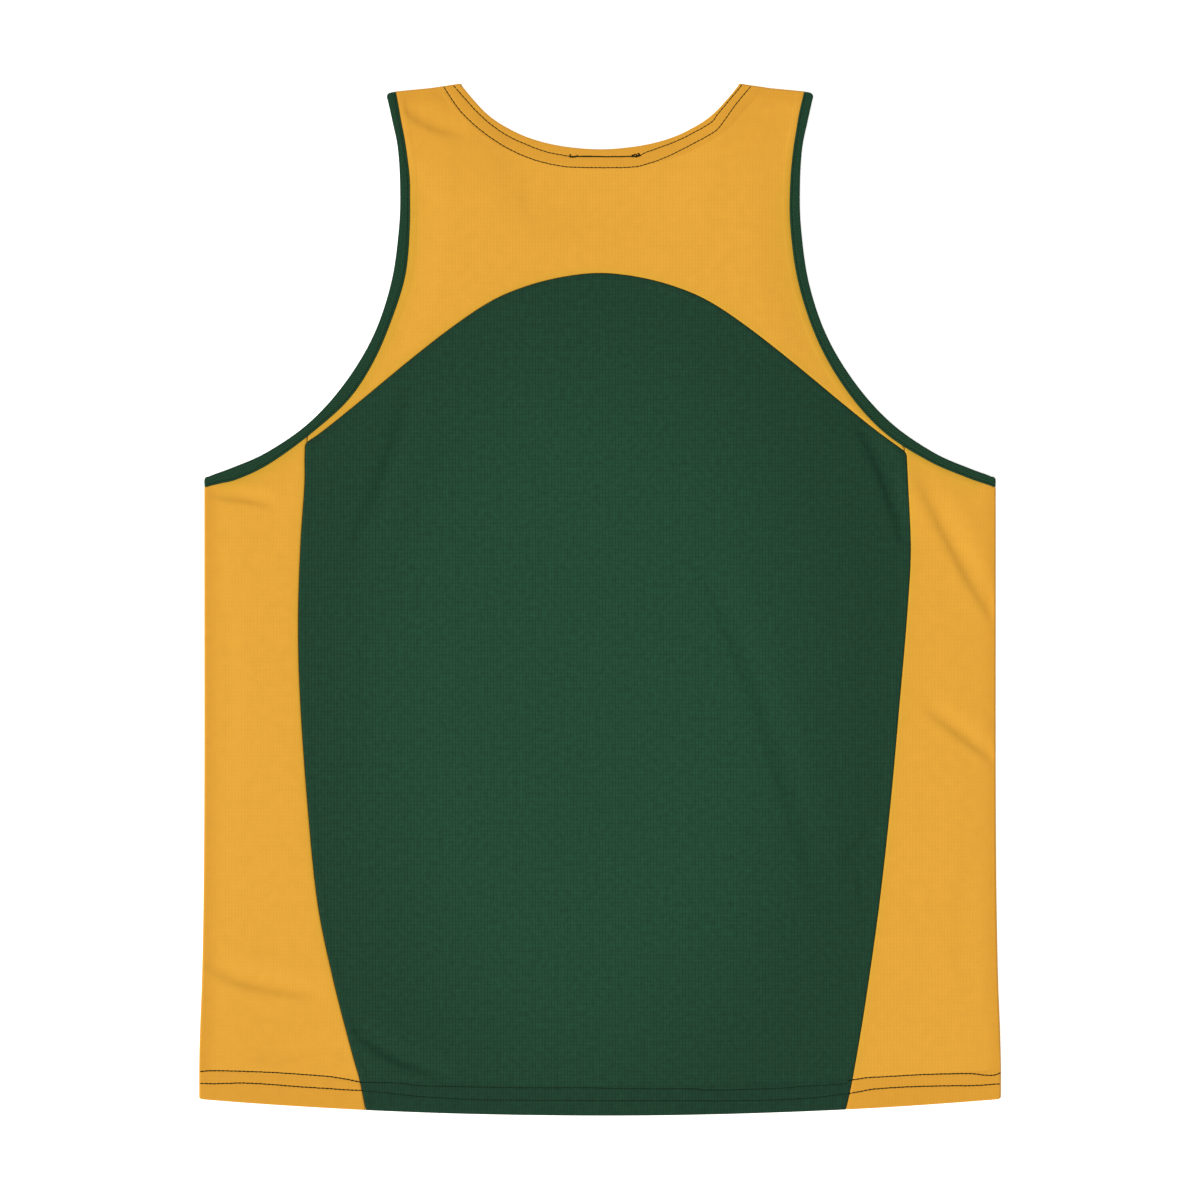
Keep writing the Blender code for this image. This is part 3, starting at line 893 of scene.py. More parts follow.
@dataclass(frozen=True)
class BackLayer:
    """The back, domed over the front and closed up to it at its sides, armholes and shoulders."""

    outward: float = 1.0
    dome: float = 1.75
    dome_power: int = 4  # a larger one makes its top flatter
    dome_half_width: float = 300.0
    dome_middle: float = -20.0
    dome_half_height: float = 420.0
    rim_fade: float = 30.0
    crease_fade: float = 6.0
    scoop_sag: float = 1.4
    scoop_fade: float = 35.0
    creases: tuple[Crease, ...] = BACK_CREASES + BACK_SOFT_CREASES
    swells: tuple[Swell, ...] = (
        Swell(across=142.0, heading=24.0, phase=0.4, height=0.14),
        Swell(across=96.0, heading=107.0, phase=1.9, height=0.10),
        Swell(across=63.0, heading=68.0, phase=3.1, height=0.06),
        Swell(across=47.0, heading=152.0, phase=5.0, height=0.04),
    )

    def height(self, points: np.ndarray) -> np.ndarray:
        """Give the height of the middle of the back's wall.

        Args:
            points: Where on the garment.

        Returns:
            The heights, in millimetres.
        """
        inner = armhole_edges(0, RIGHT_WIDTHS, FORM_STEP)[1]
        rim = np.vstack((smooth_curve(SHOULDER, FORM_STEP), inner, smooth_curve(SIDE, SIDE_STEP)))
        one_side = np.stack((np.abs(points[:, 0]), points[:, 1]), axis=1)
        from_rim = near_path(one_side, rim)[0]
        dome_x = 1 - (points[:, 0] / self.dome_half_width) ** self.dome_power
        dome_y = 1 - ((points[:, 1] - self.dome_middle) / self.dome_half_height) ** self.dome_power
        rise = self.dome * dome_x * dome_y + sum(swell.rise(points) for swell in self.swells)
        rise = rise * smoothstep(from_rim / self.rim_fade)
        folds = sum(crease_height(points, crease) for crease in self.creases)
        rise = rise + folds * smoothstep(from_rim / self.crease_fade)
        scoop = across_middle(FRONT_NECK, FORM_STEP)
        deep = near_path(points, scoop)[0] * inside(points, scoop)
        level = BACK_LEVEL + rise - self.scoop_sag * smoothstep(deep / self.scoop_fade)
        least = FrontLayer().height(points) + WALL + LAYERS_TOUCH
        over = np.logaddexp(0, (level - least) / TOUCH_SOFTNESS) * TOUCH_SOFTNESS
        return np.where(deep > 0, level, least + over)


@dataclass(frozen=True)
class FrontLayer:
    """The front, which lies flat on its outside and lifts off it only along its creases."""

    outward: float = -1.0
    creases: tuple[Crease, ...] = FRONT_CREASES

    def height(self, points: np.ndarray) -> np.ndarray:
        """Give the height of the middle of the front's wall."""
        rise = sum(crease_height(points, crease) for crease in self.creases)
        return FRONT_LEVEL + np.maximum(rise, 0)


# Fine relief on a cloth's outside


BELL_REACH = 3  # widths of a bell curve past which it no longer shows
SHADE_REACH = 6  # the same for a tone that fades
# Over a stitch's length a groove's depth swings about this share of the whole, by that share
BEAT_MEAN, BEAT_SWING = 0.72, 0.28


@dataclass(frozen=True)
class EdgeShade:
    """The darker, greener tone of gold cloth beside a seam or binding: partly the green cloth under it
    showing through, partly painted shade where the cloth dips into the seam.
    """

    amount: float
    fade: float  # over which it falls to about a third

    def at(self, points: np.ndarray, path: np.ndarray) -> np.ndarray:
        """Give how dark the tone is at points beside a path."""
        away = near_path(points, path, self.fade * SHADE_REACH)[0]
        return self.amount * np.exp(-away / self.fade)


@dataclass(frozen=True)
class Groove:
    """A line that the cloth is drawn in along, such as a seam or a row of stitches."""

    path: np.ndarray
    depth: float
    width: float
    beat: float = 0.0  # the stitches' length, at whose ends it is deepest
    across: tuple[float, ...] = (-2.2, -1.3, -0.6, 0.0, 0.6, 1.3, 2.2)  # rows of mesh points

    def rise(self, points: np.ndarray) -> np.ndarray:
        """Give how much the line raises the cloth at points.

        Args:
            points: Where on the cloth.

        Returns:
            The rise, in millimetres.
        """
        distance, along = near_path(points, self.path, self.width * BELL_REACH)
        drawn = self.depth * np.exp(-((distance / self.width) ** 2))
        if self.beat:
            drawn = drawn * (BEAT_MEAN + BEAT_SWING * np.cos(2 * np.pi * along / self.beat))
        return -drawn

    def rows(self) -> np.ndarray:
        """Give the points that the cloth's mesh needs to show the line."""
        sides = left_normals(self.path) * self.width
        return np.vstack([self.path + sides * share for share in self.across])


@dataclass(frozen=True)
class Ply:
    """A second cloth under a panel along one of its edges: a turned hem, band or allowance.

    Past its width the panel drops off it, and comes back to its own height over the run. A tone
    without a drop is no cloth, only painted shade in the doubled colour.
    """

    edge: np.ndarray
    width: float
    drop: float = 0.22
    step: float = 1.6  # across the drop
    run: float = 18.0
    tint: float = 0.0  # how much of the doubled colour it gives the panel, which on a tone is painted shade
    soft: float = 1.5  # over which the tint fades
    across: tuple[float, ...] = (-1.2, -0.5, 0.0, 0.5, 1.2, 3.0)

    def rise(self, points: np.ndarray) -> np.ndarray:
        """Give how much the ply's edge raises the panel at points.

        Args:
            points: Where on the cloth.

        Returns:
            The rise, in millimetres.
        """
        reach = BELL_REACH * self.run
        past = near_path(points, self.edge, self.width + reach)[0] - self.width
        past = np.minimum(past, reach)
        back = np.exp(-((np.maximum(past, 0) / self.run) ** 2))
        return -self.drop * smoothstep(past / self.step + 0.5) * back

    def shade(self, points: np.ndarray) -> np.ndarray:
        """Give how much the ply colours the panel at points."""
        past = near_path(points, self.edge, self.width + self.soft)[0] - self.width
        return self.tint * (1 - smoothstep(np.minimum(past, self.soft) / self.soft + 0.5))

    def rows(self) -> np.ndarray:
        """Give the points that the panel's mesh needs to show the ply's edge.

        Returns:
            The points.
        """
        sides = left_normals(self.edge)
        offsets = [self.width + share for share in self.across]
        return np.vstack([self.edge + sides * s * side for s in offsets for side in (-1, 1)])


def tone(edge: np.ndarray, width: float, tint: float, soft: float) -> Ply:
    """Give a ply that only colours the panel: painted shade in the doubled colour beside an edge."""
    return Ply(edge, width, drop=0.0, tint=tint, soft=soft, across=())


# Outlines


class Edge(Enum):
    """What a stretch of a panel's outline is."""

    FREE = auto()
    SEAM = auto()
    BOUND = auto()
    FOLD = auto()
    MEETS = auto()


INSET = {
    Edge.FREE: 0.0,
    Edge.SEAM: SEAM_GAP / 2,
    Edge.BOUND: -0.5,  # it reaches in under the binding
    Edge.FOLD: TURN_RADIUS + WALL / 2,
    Edge.MEETS: TURN_RADIUS + WALL / 2 + TURN_RUN + SEAM_GAP,
}
# Painted shade, with some green showing through, in the gold beside seams and bindings
EDGE_SHADES = {Edge.SEAM: EdgeShade(0.8, 2.2), Edge.BOUND: EdgeShade(1.0, 5.0)}
# Over this distance a cloth's edge rounds off. A free edge is a fold of two layers
ROUNDING = {Edge.FREE: 1.1, Edge.SEAM: 0.5, Edge.BOUND: 0.5, Edge.FOLD: 0.6, Edge.MEETS: 0.6}
LIP_ROUNDING = 0.6
CORNER_CLEAR = 1.3  # insets of the next stretch within which a corner is dropped
STRAIGHT = 0.02  # the sine of a turn that is too slight to be a corner
EDGE_ROWS = (0.07, 0.2, 0.4, 0.7, 1.1, 2.0)  # how far in the rows of points at an edge are
EDGE_ROW_CLEAR = 0.9  # the share of that which a point keeps to all of the outline


@dataclass(frozen=True)
class Stretch:
    """A stretch of a panel's outline."""

    points: np.ndarray
    edge: Edge


def joined(start: np.ndarray, end: np.ndarray) -> Stretch:
    """Give the short straight seam from one point of an outline to the next stretch's start."""
    return Stretch(np.array([start, end]), Edge.SEAM)


@dataclass
class Outline:
    """A panel's closed outline, anticlockwise, with what the edge after each corner is."""

    corners: np.ndarray
    edges: list[Edge]

    @classmethod
    def closed(cls, stretches: list[Stretch]) -> "Outline":
        """Join stretches end to end, and move each in by what its kind of edge asks.

        Args:
            stretches: The stretches in order.

        Returns:
            The outline.
        """
        corners: list[np.ndarray] = []
        edges: list[Edge] = []
        for stretch in stretches:
            points = list(stretch.points)
            if corners and np.linalg.norm(points[0] - corners[-1]) < SEAM_GAP:
                points = points[1:]
                edges = edges[:-1] + [stretch.edge]
            corners += points
            edges += [stretch.edge] * len(points)
        if np.linalg.norm(corners[0] - corners[-1]) < SEAM_GAP:
            corners, edges = corners[:-1], edges[:-1]
        places = np.array(corners)
        x, y = places.T
        if (x * np.roll(y, -1) - np.roll(x, -1) * y).sum() < 0:
            places = places[::-1]
            edges = edges[-2::-1] + edges[-1:]
        kept = cls.clear_of_corners(places, edges)
        edges = [edges[i] for i in kept]
        return cls(cls.moved_in(places[kept], edges), edges)

    @staticmethod
    def clear_of_corners(corners: np.ndarray, edges: list[Edge]) -> list[int]:
        """List the corners that stay: not those that the next stretch would pass as it moves in.

        Args:
            corners: The outline's corners.
            edges: What the edge after each corner is.

        Returns:
            The numbers of the corners that stay.
        """
        count = len(edges)
        dropped = set()
        for i in range(count):
            for step, deep, own in ((1, edges[i - 1], edges[i]), (-1, edges[i], edges[i - 1])):
                if deep is own:
                    continue
                near = (i + step) % count
                while (
                    np.linalg.norm(corners[near] - corners[i]) < INSET[deep] * CORNER_CLEAR
                    and edges[near - 1] is edges[near]
                ):
                    dropped.add(near)
                    near = (near + step) % count
        return [i for i in range(count) if i not in dropped]

    @staticmethod
    def moved_in(corners: np.ndarray, edges: list[Edge]) -> np.ndarray:
        """Move each edge in by its kind's inset, and give the corners where they then meet.

        Args:
            corners: The outline's corners.
            edges: What the edge after each corner is.

        Returns:
            The new corners.
        """
        along = unit(np.roll(corners, -1, axis=0) - corners)
        inward = np.stack((-along[:, 1], along[:, 0]), axis=1)
        depth = [INSET[edge] for edge in edges]
        moved = []
        for i, corner in enumerate(corners):
            before, after = inward[i - 1], inward[i]
            turn = before[0] * after[1] - before[1] * after[0]
            if abs(turn) < STRAIGHT:
                moved.append(corner + after * depth[i])
                continue
            x = (depth[i - 1] * after[1] - depth[i] * before[1]) / turn
            y = (before[0] * depth[i] - after[0] * depth[i - 1]) / turn
            moved.append(corner + (x, y))
        return np.array(moved)

    def fold_runs(self) -> list[list[int]]:
        """List the corners along each fold, in order.

        Returns:
            The corners' numbers, in a list for each fold.
        """
        count = len(self.edges)
        runs = []
        for start in range(count):
            if self.edges[start] is Edge.FOLD and self.edges[start - 1] is not Edge.FOLD:
                run = [start]
                while self.edges[run[-1]] is Edge.FOLD:
                    run.append((run[-1] + 1) % count)
                runs.append(run)
        return runs

    def beside(self, run: list[int]) -> list[np.ndarray | None]:
        """Give the next corner past each end of a fold, or None where no binding covers it.

        Args:
            run: The numbers of the fold's corners.

        Returns:
            The two corners.
        """
        after = (run[-1] + 1) % len(self.edges)
        ends = ((run[0] - 1, run[0] - 1), (after, run[-1]))
        return [self.corners[i] if self.edges[edge] is Edge.BOUND else None for i, edge in ends]

    def ring(self) -> np.ndarray:
        """Give the corners with the first one again at the end."""
        return np.vstack((self.corners, self.corners[:1]))

    def rounding_rows(self) -> np.ndarray:
        """Give rows of points just inside the outline, for its rounded edge.

        Returns:
            The points.
        """
        sides = left_normals(self.ring())[:-1]
        rows = [self.corners + sides * inset for inset in EDGE_ROWS]
        points = np.vstack(rows)
        wanted = np.repeat(EDGE_ROWS, len(self.corners))
        return points[near_path(points, self.ring())[0] > wanted * EDGE_ROW_CLEAR]


HEM_CORNER = 2.4  # across the round corner at each end of the hem
HEM_CORNER_RISE = 1.7
HEM_CORNER_FADE = 8.0


def corner_rise(points: np.ndarray) -> np.ndarray:
    """Give how far points near the hem's two ends move up, which rounds its corners.

    Args:
        points: Where on the cloth.

    Returns:
        The distances, in millimetres.
    """
    along = np.clip((np.abs(points[:, 0]) - HEM_HALF) / HEM_CORNER + 1, 0, 1)
    above = (points[:, 1] - hem_up(points[:, 0])) / HEM_CORNER_FADE
    return HEM_CORNER_RISE * along**2 * (1 - smoothstep(above))


FOLD_END_CLEAR = 1.5  # of its last row, within which a fold's own points are left out
TURN_STEPS = 10
RUN_ROWS = (0.8, 1.6, 2.3, 2.6, 2.8, 2.93, TURN_RUN)  # along the lip below a fold
MIN_SLANT = 0.3  # the least cosine that the slant of a lip's end is worked out with


def with_close_ends(path: np.ndarray) -> np.ndarray:
    """Give a fold's line closer points at its two ends, where the turned cloth rounds off.

    Args:
        path: The fold's line.

    Returns:
        The line with its new points.
    """
    whole = reached(path)
    rows = np.array(EDGE_ROWS[:-1])
    clear = rows[-1] * FOLD_END_CLEAR
    kept = whole[(whole > clear) & (whole < whole[-1] - clear)]
    lengths = np.concatenate(([0], rows, kept, whole[-1] - rows[::-1], [whole[-1]]))
    return at_lengths(path, lengths)


# Meshes


FILL_INSIDE = 1  # the triangulation's mode that keeps what is inside the outline
SAME_POINT = 0.001
THIN = 0.3  # mesh points closer than this are one
LATTICE_CLEAR = 1.2  # of the last row at an edge, within which there are no other points
RIM_NEAR = 4.0  # only points this near to an edge can be on its rounding
RIM_EDGES = 5  # the nearest edges that are measured for each point


def placed(name: str, data: bpy.types.ID) -> bpy.types.Object:
    """Put an object with this data in the scene.

    Args:
        name: The object's name.
        data: Its mesh, light or camera.

    Returns:
        The object.
    """
    item = bpy.data.objects.new(name, data)
    bpy.context.scene.collection.objects.link(item)
    return item


def new_piece(
    name: str, points: np.ndarray, faces: list[tuple[int, ...]], cloth: np.ndarray
) -> bpy.types.Object:
    """Make a closed, smooth piece.

    Args:
        name: The piece's name.
        points: Its points, in millimetres.
        faces: Its faces.
        cloth: Each point's place on the flat cloth, in millimetres, for the knit.

    Returns:
        The piece, in the scene.
    """
    data = bpy.data.meshes.new(name)
    data.from_pydata((points * MM).tolist(), [], faces)
    mesh = bmesh.new()
    mesh.from_mesh(data)
    bmesh.ops.recalc_face_normals(mesh, faces=mesh.faces)
    mesh.to_mesh(data)
    mesh.free()
    place = data.attributes.new("cloth_mm", "FLOAT_VECTOR", "POINT")
    place.data.foreach_set("vector", cloth.astype(np.float32).ravel())
    data.shade_smooth()
    return placed(name, data)


def dress(piece: bpy.types.Object, finish: KnitFinish | ThreadFinish) -> None:
    """Give a piece its finish and the body that it rides on.

    Args:
        piece: The piece.
        finish: Its finish.
    """
    piece.data.materials.append(finish.material())
    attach(piece, "root")
    LOG.info("%s: %d faces", piece.name, len(piece.data.polygons))


@dataclass
class StitchRow:
    """A row of lockstitches on a cloth's outside."""

    path: np.ndarray
    pitch: float = 3.0
    thread: float = 0.85  # the real thread is half as thick, which would hardly show
    gap: float = 0.0
    sink: float = 0.16  # of the thread's middle below the cloth
    lift: float = 0.18  # of a stitch's middle over its ends
    end_share: float = 0.7  # of the thread's thickness, where it goes into the cloth
    wander: float = 0.08
    wander_beats: tuple[float, float] = (2.4, 0.9)  # radians a stitch, which never line up
    blunt: float = 0.04  # of its length, where its arch ends, so that it keeps some height
    groove_depth: float = 0.26
    groove_width: float = 0.85
    rings: int = 5
    sides: int = 6

    def count(self) -> int:
        """Give how many stitches fill the row."""
        return max(1, round(reached(self.path)[-1] / self.pitch))

    def groove(self) -> Groove:
        """Give the groove that the row draws into its cloth."""
        beat = reached(self.path)[-1] / self.count()
        return Groove(self.path, self.groove_depth, self.groove_width, beat)

    def stitches(self, surface: object, outward: float) -> tuple[np.ndarray, list, np.ndarray]:
        """Make the row's stitches.

        Args:
            surface: A function that gives the height of the cloth's outside at points.
            outward: 1 where the outside looks up and -1 where it looks down.

        Returns:
            The points, the faces, and each point's place along and round the thread.
        """
        count = self.count()
        pitch = reached(self.path)[-1] / count
        share = np.linspace(0, 1, self.rings)
        arch = np.sin(np.pi * np.clip(share, self.blunt, 1 - self.blunt)) ** 0.5
        number = np.arange(count)
        start = number * pitch + self.gap / 2
        run = pitch - self.gap
        lengths = (start[:, None] + share * run).ravel()
        centres = at_lengths(self.path, lengths)
        headings = unit(carried(self.path, np.gradient(self.path, axis=0), lengths))
        side = np.stack((-headings[:, 1], headings[:, 0]), axis=1)
        first, second = self.wander_beats
        shift = self.wander * np.sin(number * first) * np.cos(number * second)
        centres = centres + side * np.repeat(shift, self.rings)[:, None]
        arches = np.tile(arch, count)
        height = surface(centres) + outward * (arches * self.lift - self.sink - self.lift / 2)
        radius = self.thread / 2 * (self.end_share + (1 - self.end_share) * arches)
        angles = np.arange(self.sides) * 2 * np.pi / self.sides
        flat = centres[:, None, :] + side[:, None, :] * (radius[:, None] * np.cos(angles))[:, :, None]
        high = height[:, None] + radius[:, None] * np.sin(angles)
        points = np.concatenate((flat, high[:, :, None]), axis=2).reshape(-1, 3)
        round_mm = np.tile(angles * self.thread / 2, len(lengths))
        cloth = np.stack((np.repeat(lengths, self.sides), round_mm, np.zeros(len(points))), axis=1)
        return points, self.faces(count), cloth

    def faces(self, count: int) -> list[tuple[int, ...]]:
        """List the faces of so many stitches: each a tube with its two ends closed.

        Args:
            count: How many stitches.

        Returns:
            The faces.
        """
        found = []
        per_stitch = self.rings * self.sides
        for first in range(0, count * per_stitch, per_stitch):
            for ring in range(self.rings - 1):
                near = first + ring * self.sides
                for i in range(self.sides):
                    j = (i + 1) % self.sides
                    found.append((near + i, near + j, near + self.sides + j, near + self.sides + i))
            last = first + per_stitch - self.sides
            found.append(tuple(range(first + self.sides - 1, first - 1, -1)))
            found.append(tuple(range(last, last + self.sides)))
        return found


@dataclass
class ClothPanel:
    """A cut panel of knit, as a thin closed shell with rounded edges and sewn detail."""

    name: str
    stretches: list[Stretch]
    plies: list[Ply]
    rows: list[StitchRow]
    layer: BackLayer | FrontLayer = BackLayer()
    finish: KnitFinish = GOLD_KNIT
    rests_on: tuple[str, ...] = ("front_panel_cloth",)
    grid: float = 3.6  # of the lattice of points where there is no detail
    seam_dip: float = 0.3
    seam_dip_width: float = 0.85

    def relief(self) -> list[Groove | Ply]:
        """List what shapes the panel's outside: its plies, rows of stitches and seams.

        Returns:
            All that has a rise and rows of points.
        """
        rows = [row.groove() for row in self.rows]
        seams = [s.points for s in self.stretches if s.edge in (Edge.SEAM, Edge.BOUND)]
        dips = [Groove(path, self.seam_dip, self.seam_dip_width, across=()) for path in seams]
        return self.plies + rows + dips

    def shade(self, points: np.ndarray) -> np.ndarray:
        """Give what colours the panel at points: 1 where it takes the doubled colour, on doubled cloth
        and as painted shade by folds, and -1 where it takes the darker edge colour beside seams and
        bindings.

        Args:
            points: Where on the cloth.

        Returns:
            The shares, as the third value of the cloth's places.
        """
        doubled_and_fold_shade = np.clip(sum(ply.shade(points) for ply in self.plies), 0, 1)
        backed_and_seam_shade = [
            EDGE_SHADES[s.edge].at(points, s.points) for s in self.stretches if s.edge in EDGE_SHADES
        ]
        return doubled_and_fold_shade - np.max(backed_and_seam_shade, axis=0) * (1 - doubled_and_fold_shade)

    def outside(self, points: np.ndarray) -> np.ndarray:
        """Give the height of the panel's outside at points."""
        rise = sum(part.rise(points) for part in self.relief())
        return self.layer.height(points) + self.layer.outward * (WALL / 2 + rise)

    def mesh_points(self, outline: Outline) -> np.ndarray:
        """Choose the points inside the outline: rows where there is detail, and a lattice.

        Args:
            outline: The panel's outline.

        Returns:
            The points.
        """
        low, high = outline.corners.min(axis=0), outline.corners.max(axis=0)
        rise = self.grid * 3**0.5 / 2
        x, y = np.meshgrid(np.arange(low[0], high[0], self.grid), np.arange(low[1], high[1], rise))
        x = x + (np.arange(len(x)) % 2)[:, None] * self.grid / 2
        lattice = np.stack((x, y), axis=-1).reshape(-1, 2)
        rows = [part.rows() for part in self.relief() if part.across]
        for crease in self.layer.creases:
            length = reached(crease_path(crease, CREASE_LINE_POINTS))[-1]
            path = crease_path(crease, round(length / CREASE_MESH_STEP))
            sides = left_normals(path) * crease.width
            clear = crease.width * CREASE_MESH_REACH
            lattice = lattice[near_path(lattice, path, clear)[0] > clear]
            rows += [path + sides * share for share in CREASE_MESH_ROWS]
        detail = np.vstack(rows)
        _, kept = np.unique(np.round(detail / THIN), axis=0, return_index=True)
        detail = detail[np.sort(kept)]
        tree = kdtree.KDTree(len(detail))
        for i, point in enumerate(detail):
            tree.insert((*point, 0), i)
        tree.balance()
        lattice = lattice[[tree.find((*point, 0))[2] > self.grid / 2 for point in lattice]]
        points = np.vstack((detail, lattice))
        points = points[inside(points, outline.corners)]
        points = points[near_path(points, outline.ring())[0] > EDGE_ROWS[-1] * LATTICE_CLEAR]
        return np.vstack((outline.rounding_rows(), points))

    def turned_edge(
        self, line: np.ndarray, beside: list[np.ndarray | None]
    ) -> tuple[np.ndarray, np.ndarray, np.ndarray]:
        """Carry the cloth on round a half turn at a fold and a little way back below it.

        Args:
            line: The fold's line.
            beside: The outline's next corner past each end, or None to end it square.

        Returns:
            Rows of points, of outward normals, and of places on the flat cloth.
        """
        out = -left_normals(line)
        back = -out.copy()
        for end, corner in zip((0, -1), beside):
            if corner is not None:
                along = unit(corner - line[end])
                back[end] = along / max(MIN_SLANT, abs(along @ out[end]))
        points, normals, places = [], [], []
        for angle in np.linspace(0, np.pi, TURN_STEPS + 1)[1:]:
            level = FRONT_LEVEL + TURN_RADIUS * (1 + np.cos(angle))
            shift = out * TURN_RADIUS * np.sin(angle)
            points.append(np.column_stack((line + shift, np.full(len(line), level))))
            normals.append(np.column_stack((out * np.sin(angle), np.full(len(line), np.cos(angle)))))
            places.append(line + out * TURN_RADIUS * angle)
        for run in RUN_ROWS:
            points.append(np.column_stack((line + back * run, np.full(len(line), FRONT_LEVEL))))
            normals.append(np.tile((0.0, 0.0, -1.0), (len(line), 1)))
            places.append(line + out * (TURN_RADIUS * np.pi + run))
        return np.array(points), np.array(normals), np.array(places)

    def build(self) -> bpy.types.Object:
        """Build the panel and its stitching.

        Returns:
            The panel.
        """
        outline = Outline.closed(self.stretches)
        flat = [Vector(p) for p in np.vstack((outline.corners, self.mesh_points(outline)))]
        ring = list(range(len(outline.corners)))
        filled = geometry.delaunay_2d_cdt(flat, [], [ring], FILL_INSIDE, SAME_POINT)
        places = np.array([tuple(point) for point in filled[0]])
        faces = [tuple(face) for face in filled[2]]
        at_corner = {corner: i for i, found in enumerate(filled[3]) for corner in found}
        up = self.layer.outward
        points = np.column_stack((places, self.layer.height(places)))
        normals = np.tile((0.0, 0.0, up), (len(points), 1))
        rise = sum(part.rise(places) for part in self.relief())
        rounding = {at_corner[i]: ROUNDING[edge] for i, edge in enumerate(outline.edges)}
        for run in outline.fold_runs():
            line, beside = outline.corners[run], outline.beside(run)
            lip, lip_normals, lip_places = self.turned_edge(line, beside)
            rows = [[at_corner[i] for i in run]]
            for row in range(len(lip)):
                first = len(points) + row * len(run)
                rows.append(list(range(first, first + len(run))))
            for near, far in zip(rows, rows[1:]):
                for i in range(len(run) - 1):
                    faces.append((near[i], far[i], far[i + 1], near[i + 1]))
            points = np.vstack((points, lip.reshape(-1, 3)))
            normals = np.vstack((normals, lip_normals.reshape(-1, 3)))
            places = np.vstack((places, lip_places.reshape(-1, 2)))
        points[:, 1] += corner_rise(points)
        rise = np.concatenate((rise, np.zeros(len(points) - len(rise))))
        cloth = np.column_stack((places, self.shade(places)))
        shell = self.shell(points, normals, rise, faces, rounding)
        piece = new_piece(self.name + "_cloth", shell[0], shell[1], cloth[shell[2]])
        dress(piece, self.finish)
        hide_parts(self.name)
        self.declare()
        return piece

    def shell(
        self,
        points: np.ndarray,
        normals: np.ndarray,
        rise: np.ndarray,
        faces: list[tuple[int, ...]],
        rounding: dict[int, float],
    ) -> tuple[np.ndarray, list[tuple[int, ...]], np.ndarray]:
        """Give a middle surface its thickness, with its edges rounded off.

        Args:
            points: The middle surface's points.
            normals: The way to the cloth's outside at each.
            rise: The relief on the outside at each.
            faces: The middle surface's faces.
            rounding: For a point of the outline, how far in its rounding reaches.

        Returns:
            The shell's points and faces, and the middle surface's point that each is made from.
        """
        sides = Counter(frozenset((f[i - 1], f[i])) for f in faces for i in range(len(f)))
        rim_edges = [tuple(pair) for pair, uses in sides.items() if uses == 1]
        rim = sorted({i for pair in rim_edges for i in pair})
        on_rim = np.zeros(len(points), dtype=bool)
        on_rim[rim] = True
        reach = rim_reach(points, rim_edges, rounding)
        full = np.sqrt(1 - (1 - np.minimum(reach, 1)) ** 2)
        full[on_rim] = 0
        outer = points + normals * ((WALL / 2 + rise) * full)[:, None]
        inner = points - normals * (WALL / 2 * full)[:, None]
        source = np.concatenate((np.arange(len(points)), np.flatnonzero(~on_rim)))
        inner_index = np.arange(len(points))
        inner_index[~on_rim] = len(points) + np.arange((~on_rim).sum())
        kept = [f for f in faces if not all(on_rim[i] for i in f)]
        turned = [tuple(int(inner_index[i]) for i in reversed(f)) for f in kept]
        return np.vstack((outer, inner[~on_rim])), kept + turned, source

    def declare(
        self
    ) -> None:
        """Sew on the stitching.
        """
        made = [row.stitches(self.outside, self.layer.outward) for row in self.rows]
        stitching = joined_stitches(self.name + "_stitching", made)


def joined_stitches(name: str, made: list[tuple]) -> bpy.types.Object:
    """Join rows of stitches into one piece.

    Args:
        name: The piece's name.
        made: Each row's points, faces and places along and round the thread.

    Returns:
        The piece.
    """
    faces: list[tuple[int, ...]] = []
    first = 0
    for points, row_faces, _ in made:
        faces += [tuple(i + first for i in face) for face in row_faces]
        first += len(points)
    points = np.vstack([row[0] for row in made])
    piece = new_piece(name, points, faces, np.vstack([row[2] for row in made]))
    dress(piece, THREAD)
    return piece


def rim_reach(
    points: np.ndarray, rim_edges: list[tuple[int, int]], rounding: dict[int, float]
) -> np.ndarray:
    """Measure how far in from its rounded edges each point of a cloth is.

    Args:
        points: The cloth's middle surface.
        rim_edges: The pairs of points that its edges run between.
        rounding: For a point of the outline, how far in its rounding reaches.

    Returns:
        The distance from the nearest edge, in shares of that edge's rounding, or infinity.
    """
    start = points[[a for a, _ in rim_edges]]
    step = points[[b for _, b in rim_edges]] - start
    tree = kdtree.KDTree(len(rim_edges))
    for i, middle in enumerate(start + step / 2):
        tree.insert(middle, i)
    tree.balance()
    pairs = []
    for i, point in enumerate(points):
        pairs += [(i, edge) for _, edge, away in tree.find_n(point, RIM_EDGES) if away < RIM_NEAR]
    near, edge = np.array(pairs).T
    width = np.array([min(rounding.get(i, LIP_ROUNDING) for i in pair) for pair in rim_edges])
    offset = points[near] - start[edge]
    share = np.clip((offset * step[edge]).sum(axis=1) / (step[edge] ** 2).sum(axis=1), 0, 1)
    gap = np.linalg.norm(offset - share[:, None] * step[edge], axis=1)
    reach = np.full(len(points), np.inf)
    np.minimum.at(reach, near, gap / width[edge])
    return reach


SHOULDER_OUT = left_normals(np.array(SHOULDER[1:]))[0]
SIDE_OUT = np.array((1.0, 0.0))


